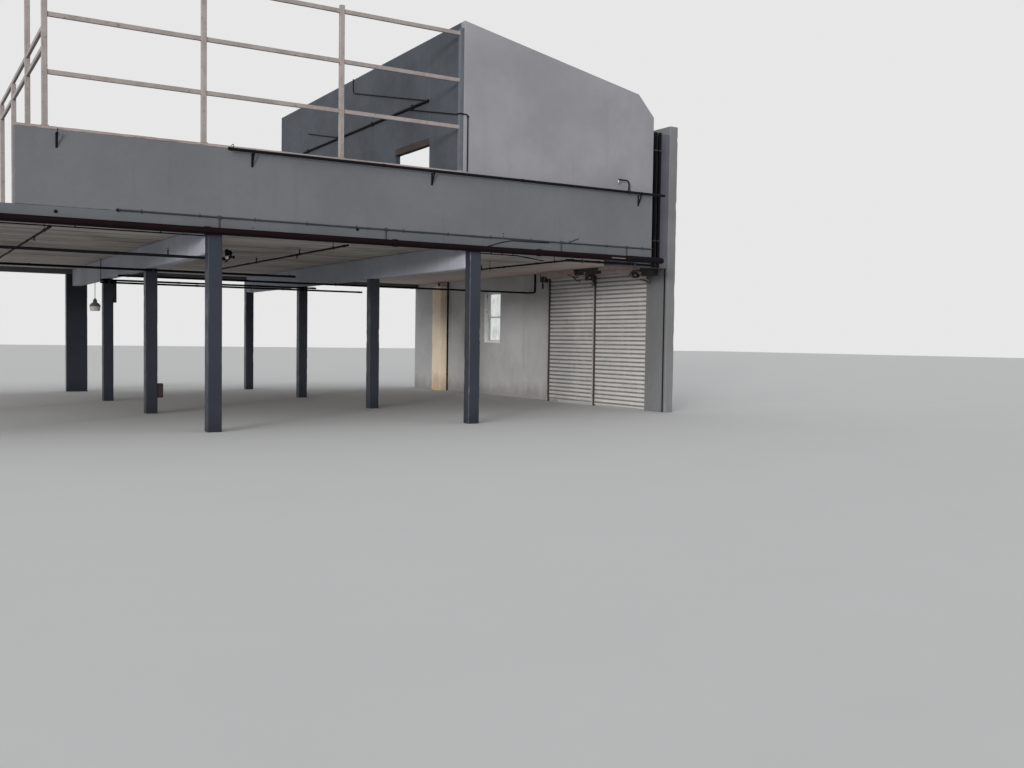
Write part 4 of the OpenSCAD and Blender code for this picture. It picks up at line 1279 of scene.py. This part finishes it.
def make_hangers():
    """Rings on rods, and two rings where one hanger holds two pipes."""
    hangers = Shape()
    beam_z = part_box("cross_beams")[0].z
    rim = 5 * MM
    half = 13 * MM
    foot = Vector((22 * MM, 22 * MM, 0))
    for low, high in solids("pipe_hangers"):
        round_y = high.x - low.x > 0.045
        middle = (low + high) / 2
        axis = ALONG_Y if round_y else ALONG_X
        radius = ((high.x - low.x) if round_y else (high.y - low.y)) / 2
        rings = [low.z + radius]
        if high.z < beam_z + rim and high.z - low.z > 0.1:
            rings.append(high.z - radius - 4 * MM)
        profile = [(-half, radius - rim), (-half, radius), (half, radius), (half, radius - rim)]
        for z in rings:
            hangers.lathe(profile, (*middle.xy, z), axis, 22)
        rod_z = rings[-1] + radius - 4 * MM
        hangers.lathe([(0, 6 * MM), (high.z - rod_z, 6 * MM)], (*middle.xy, rod_z), UP, 10)
        top = Vector((*middle.xy, high.z))
        hangers.block(top - foot - UP * 8 * MM, top + foot)
        if high.z - rings[-1] > 0.1:
            hangers.bolt((*middle.xy, rings[-1] + radius + 2 * MM), UP, 9 * MM)
    soffit_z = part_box("floor_slab")[0].z
    long_pipes = [pair for pair in solids("hung_pipes") if pair[1].x - pair[0].x > 1]
    low, high = max(long_pipes, key=lambda pair: (pair[0].y, pair[1].z))
    top = (low.x + 15 * MM, (low.y + high.y) / 2, soffit_z)
    hangers.lathe([(0, 11 * MM), (soffit_z - high.z + 8 * MM, 11 * MM)], top, -UP, 10)
    hangers.lathe([(0, 30 * MM), (5 * MM, 28 * MM), (8 * MM, 12 * MM)], top, -UP, 14)
    make(hangers, "pipe_ring_hangers", "dark_steel", "pipe_hangers")


def make_valve():
    """A black hose valve on the front pipe's end, beside the middle column."""
    low, high = front_pipe()
    radius = (high.z - low.z) / 2
    end = Vector((high.x, (low.y + high.y) / 2, (low.z + high.z) / 2))
    neck = end + Vector((0.030, 0, 0.105))
    body = Shape()
    body.pipe([end - ALONG_X * 0.05, end + ALONG_X * 0.03, neck + UP * 0.01], radius * 1.1, 0.04, 16)
    bonnet = [(-0.045, 0.026), (-0.040, 0.040), (0.030, 0.044), (0.045, 0.034), (0.060, 0.022)]
    body.lathe(bonnet, neck + ALONG_X * 0.03, ALONG_X, 20)
    body.lathe([(0, 0.030), (0.020, 0.034), (0.045, 0.026), (0.060, 0.012)], neck, UP, 18)
    hook = ((0.09, 0, 0.105), (0.105, 0, 0.055), (0.065, 0, 0), (0, -0.02, -0.055))
    body.pipe([end + Vector(step) for step in hook], 13 * MM, 0.03, 12)
    stem = [(0, 0.016), (0.07, 0.016), (0.075, 0.024), (0.10, 0.024)]
    body.lathe(stem, end + Vector((0.06, 0, 0.035)), ALONG_X, 16)
    make(body, "hose_valve_body", "black_pipe_paint")
    outlet = Shape()
    ring = [(0, 0.020), (0.006, 0.030), (0.022, 0.030), (0.026, 0.022)]
    outlet.lathe(ring, end + Vector((0.02, -radius, 0.02)), -ALONG_Y, 20)
    make(outlet, "hose_valve_outlet", "dark_steel", look="worn_silver")


# Places of the pipes on the partition, as Y and Z
PARTITION_PIPE_Z = 6.212
PARTITION_PIPE_START = -5.5045
PARTITION_PIPE_END = 1.4455
RISING_PIPE = ((-5.4745, PARTITION_PIPE_Z), (-1.7245, 7.082))
FALLING_PIPE = ((-4.5345, PARTITION_PIPE_Z), (-6.7865, 5.712))
REAR_BRANCH = ((-0.9445, PARTITION_PIPE_Z), (1.1555, 6.642))


def make_partition_pipes():
    """A level pipe with thin branches, and a drop from the front branch round the corner post."""
    low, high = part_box("partition_pipes")
    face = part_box("partition_rear_panel")[0].x
    radius = (high.x - low.x) / 2
    x = face - radius
    z = PARTITION_PIPE_Z
    thin = 11 * MM
    shape = Shape()
    rng = random.Random("partition_pipes")
    run = jittered((x, PARTITION_PIPE_START, z), (x, PARTITION_PIPE_END, z), 14, rng, -1.5, 1.0)
    shape.sweep(run, radius - 1 * MM, 16)
    for i in range(4):
        y = PARTITION_PIPE_START + 0.5 + i * (PARTITION_PIPE_END - PARTITION_PIPE_START - 1.0) / 3
        shape.coupling((x, y, z), ALONG_Y, radius - 1 * MM, 0.07, 4 * MM)
        shape.block((x - radius - 2 * MM, y + 0.20, z - 0.045), (face, y + 0.225, z + 0.045), 3 * MM)
    rise = RISING_PIPE[1]
    shape.pipe([(x, *RISING_PIPE[0]), (x, *rise), (x, rise[0], high.z)], thin, 0.09, 12)
    shape.pipe([(x, *end) for end in REAR_BRANCH], thin, 0.05, 12)
    corner_y, corner_z = FALLING_PIPE[1]
    post_low, post_high = solids("guard_rail_posts")[-1]
    left = post_low.x - thin - 2 * MM
    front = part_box("room_front_wall")[0].y - thin
    drop_x = post_high.x + 0.075
    drop = [
        (x, *FALLING_PIPE[0]), (x, corner_y, corner_z), (left, corner_y - 0.015, corner_z - 4 * MM),
        (left, front, corner_z - 8 * MM), (drop_x, front, corner_z - 16 * MM),
        (drop_x, front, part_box("parapet_cap")[1].z),
    ]
    shape.pipe(drop, thin, 0.03, 12)
    sleeve = [(0, 8 * MM), (8 * MM, 20 * MM), (30 * MM, 20 * MM), (36 * MM, 8 * MM)]
    shape.lathe(sleeve, (drop_x, front, corner_z - 0.03), -UP, 14)
    make(shape, "partition_pipe_runs", "black_pipe_paint", "partition_pipes")


CORNER_CABLE = 15 * MM
CORNER_CABLE_PAST_FRONT = 0.075
CORNER_CABLE_MIDDLE = 1.6


def make_wall_pipes():
    shape = Shape()
    clips = Shape()
    wall_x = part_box("side_wall")[0].x
    for low, high in solids("wall_pipes"):
        x, y, _ = (low + high) / 2
        radius = (high.x - low.x) / 2
        tube = radius - 1.5 * MM
        if high.y - low.y > 5 * radius:
            corner = Vector((x, low.y + radius, low.z + radius))
            turn = [(x, high.y, corner.z), corner, (x, corner.y, high.z)]
            shape.pipe(turn, tube, 0.05, 16)
            shape.coupling(corner + UP * 0.07, UP, tube, 0.05, 4 * MM)
            continue
        tall = high.z - low.z
        rng = random.Random(str(round(y, 2)) + str(round(x, 2)))
        run = jittered((x, y, low.z), (x, y, high.z), max(2, round(tall / 0.5)), rng, -1, 1, ALONG_X)
        shape.sweep(run, tube, 16)
        for share in (0.15, 0.5, 0.85):
            shape.coupling((x, y, low.z + tall * share), UP, tube, 0.07, 4 * MM)
        reach = radius + 3 * MM
        past = 3 * MM
        end = (high.x + past, high.y)
        if x < wall_x < x + radius * 1.2:
            end = (high.x, high.y + past)
        count = max(2, round(tall / 1.1))
        for i in range(count):
            z = low.z + tall * (i + 0.5) / count + 0.08
            clips.block((x - reach, y - reach, z), (*end, z + 0.03), 3 * MM)
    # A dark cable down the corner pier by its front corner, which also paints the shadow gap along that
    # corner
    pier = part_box("corner_pier")[0]
    cable = (pier.x - CORNER_CABLE, pier.y + CORNER_CABLE_PAST_FRONT)
    heights = (0.0, CORNER_CABLE_MIDDLE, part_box("floor_slab")[0].z)
    shape.sweep([(*cable, z) for z in heights], CORNER_CABLE, 12)
    make(shape, "wall_pipe_runs", "black_pipe_paint", "wall_pipes")
    make(clips, "wall_pipe_clips", "dark_steel")


# Fittings

SHADE_TOP = 0.24
SHADE_RIM = 0.115


def make_lamp():
    """A dome shade on a stem, and under it an open pale skirt with a plate and a bulb. Their pale colour is
    painted light for the lamp's glow.
    """
    low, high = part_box("shade_lamp")
    x = (low.x + high.x) / 2
    y = (low.y + high.y) / 2
    base = Vector((x, y, low.z))
    radius = (high.x - low.x) / 2
    dome = Shape()
    dome_sides = ((0.03, 0.97), (0.06, 0.84), (0.09, 0.60), (0.11, 0.34))
    outer = [(SHADE_RIM, radius), (SHADE_RIM + 0.006, radius + 0.001)]
    outer += [(SHADE_RIM + rise, radius * share) for rise, share in dome_sides]
    inner = [(at, reach - 3 * MM) for at, reach in outer]
    outer += [(SHADE_TOP, 0.055), (SHADE_TOP + 0.03, 0.050)]
    closed = [(SHADE_TOP + 0.03, 0.0), *outer[::-1], *inner, (SHADE_RIM + 0.11, 0.0)]
    dome.lathe(closed, base, UP, 40)
    socket = [(0, 0.048), (0.05, 0.048), (0.07, 0.030), (0.09, 0.016)]
    dome.lathe(socket, base + UP * SHADE_TOP, UP, 24)
    middle = (x + 2 * MM, y, (low.z + high.z) / 2 + 0.1)
    dome.sweep([(x, y, low.z + SHADE_TOP + 0.08), middle, (x, y, high.z)], 8 * MM, 10)
    dome.lathe([(0, 0.018), (0.02, 0.045), (0.035, 0.050)], (x, y, high.z - 0.035), UP, 24)
    make(dome, "bell_lamp", "dark_steel", "shade_lamp", look="lamp_shade")
    # The skirt and bulb are pale as painted light for the glow
    glow = Shape()
    plate = SHADE_RIM + 0.004
    under = SHADE_RIM - 0.002
    skirt = [(0.0, radius * 0.84), (0.03, radius * 0.89), (0.07, radius * 0.94), (plate, radius * 0.97)]
    inside = [(min(at, under), reach - 3 * MM) for at, reach in skirt]
    glow.lathe([(plate, 0.0), *skirt[::-1], *inside, (under, 0.0)], base, UP, 40)
    bulb = [
        (0.225, 0.020), (0.17, 0.022), (0.14, 0.034), (0.10, 0.044),
        (0.07, 0.040), (0.05, 0.022), (0.044, 0.002),
    ]
    glow.lathe(bulb, base)
    make(glow, "bell_lamp_skirt", "dark_steel", look="lamp_glow_paint")


def make_boxes():
    """The junction box and the small red box on a column, each a case with a door."""
    low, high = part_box("junction_box")
    box = Shape()
    box.block(low, (high.x - 12 * MM, high.y, high.z), 6 * MM)
    box.block((high.x - 16 * MM, low.y + 1 * MM, low.z + 4 * MM), high - Vector((0, 1 * MM, 4 * MM)), 5 * MM)
    for y in (low.y + 14 * MM, high.y - 14 * MM):
        for z in (low.z + 22 * MM, high.z - 22 * MM):
            box.bolt((high.x, y, z), ALONG_X, 5 * MM)
    gland = [(0, 12 * MM), (30 * MM, 12 * MM), (30 * MM, 17 * MM), (44 * MM, 17 * MM)]
    box.lathe(gland, ((low.x + high.x) / 2, (low.y + high.y) / 2, high.z - 46 * MM), UP, 12)
    handle = Vector((high.x, low.y + 60 * MM, low.z + 0.23))
    box.block(handle - Vector((4 * MM, 8 * MM, 0.03)), handle + Vector((8 * MM, 8 * MM, 0.03)), 3 * MM)
    make(box, "junction_box_case", "dark_steel", "junction_box")

    low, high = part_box("call_point_box")
    case = Shape()
    case.block(low, (high.x - 14 * MM, high.y, high.z), 8 * MM)
    rim = Vector((0, 4 * MM, 4 * MM))
    case.block(Vector((high.x - 18 * MM, *low.yz)) + rim, high - rim - ALONG_X * 2 * MM, 6 * MM)
    for z in (low.z + 0.07, high.z - 0.10):
        case.lathe([(0, 5 * MM), (40 * MM, 5 * MM)], (high.x - 16 * MM, low.y + 1 * MM, z), UP, 8)
    make(case, "call_point_case", "red_box_paint", "call_point_box")
    catch = Shape()
    middle = (low + high) / 2
    lever = Vector((high.x, high.y - 16 * MM, middle.z + 20 * MM))
    catch.block(lever - Vector((4 * MM, 14 * MM, 40 * MM)), lever)
    disc = [(0, 22 * MM), (3 * MM, 22 * MM), (3 * MM, 17 * MM), (5 * MM, 16 * MM)]
    catch.lathe(disc, (high.x - 5 * MM, middle.y - 8 * MM, high.z - 0.09), ALONG_X)
    make(catch, "call_point_catch", "dark_steel", look="worn_silver")


COLUMN_DEPTH = 0.2
# Places on the parapet's face, as X and the height above the edge beam's top
ANCHORS = ((-2.226, -0.118), (-0.383, -0.022), (2.570, 0.101), (2.572, 0.048), (4.297, 0.115))
PLUGS = ((-5.230, -0.076), (-4.345, 0.010), (-0.383, -0.018))
SHORT_CABLE = ((4.06, 0.028), (4.18, 0.070), (4.29, 0.113))
LONG_CABLE = ((2.10, -0.19), (2.27, -0.145), (2.55, -0.06), (2.76, -0.020), (3.60, -0.012))
# The dark cable behind the edge beam, which also paints the shadow line under the beam's inner edge: each
# length's start, its end, and how far its end hangs down
HIDDEN_CABLES = ((-7.56, -2.96, 0.0), (2.10, 3.62, 0.065))
HIDDEN_CABLE_Z = 3.2


def make_edge_fittings():
    """Plugs, anchors and loose cables on the parapet's face, and a dark cable behind the edge beam which also
    paints the shadow line under the beam's inner edge.
    """
    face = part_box("front_parapet")[0].y
    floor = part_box("front_edge_beam")[1].z
    plugs = Shape()
    for x, rise in ANCHORS:
        plugs.bolt((x, face, floor + rise), -ALONG_Y, 11 * MM)
    plug = [(0, 26 * MM), (12 * MM, 26 * MM), (22 * MM, 14 * MM)]
    for x, rise in PLUGS:
        plugs.lathe(plug, (x, face, floor + rise), -ALONG_Y, 14)
    make(plugs, "parapet_anchor_bolts", "black_pipe_paint", look="pipe_wrap")
    cable = Shape()
    out = face - 9 * MM
    short = [Vector((x, out, floor + rise)) for x, rise in SHORT_CABLE]
    short[1].y -= 6 * MM
    cable.pipe(short, 5 * MM, 0.05, 8)
    long = [Vector((x, out, floor + rise)) for x, rise in LONG_CABLE]
    long[-1].y -= 4 * MM
    cable.pipe(long, 8 * MM, 0.12, 8)
    make(cable, "parapet_cables", "black_pipe_paint")
    # A dark cable just under the beam's inner lower edge: partly a cable, partly painted shadow along that
    # edge
    inner_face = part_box("front_edge_beam")[0].y + COLUMN_DEPTH
    behind = inner_face + 16 * MM
    z = HIDDEN_CABLE_Z
    hidden = Shape()
    for start, end, drop in HIDDEN_CABLES:
        path = [(start, behind, z + 2 * MM), (end - 0.6, behind, z), (end, behind, z - 2 * MM - drop)]
        hidden.pipe(path, 10 * MM, 0.3, 8)
        for k in range(4):
            x = start + 0.1 + k * (end - start - 0.8) / 3
            clip = ((x - 8 * MM, inner_face, z - 12 * MM), (x + 8 * MM, behind + 4 * MM, z + 36 * MM))
            hidden.block(*clip)
    make(hidden, "edge_beam_shadow_cable", "black_pipe_paint")


def make_stage():
    mesh = bpy.data.meshes.new("studio_floor")
    reach = FLOOR_REACH
    corners = [(-reach, -reach, 0), (reach, -reach, 0), (reach, reach, 0), (-reach, reach, 0)]
    mesh.from_pydata(corners, [], [(0, 1, 2, 3)])
    mesh.materials.append(PAINTS["studio_floor"])
    floor = bpy.data.objects.new("studio_floor", mesh)
    bpy.context.scene.collection.objects.link(floor)


make_camera()
make_lights()
make_paints()
make_stage()
make_floor()
make_supports()
make_room()
make_curtains()
make_guides()
make_rolls()
make_header()
make_window()
make_rails()
make_main_pipe()
make_top_pipe()
make_gooseneck()
make_conduit()
make_hung_pipes()
make_hangers()
make_valve()
make_partition_pipes()
make_wall_pipes()
make_lamp()
make_boxes()
make_edge_fittings()

bpy.context.scene.view_settings.view_transform = "Standard"
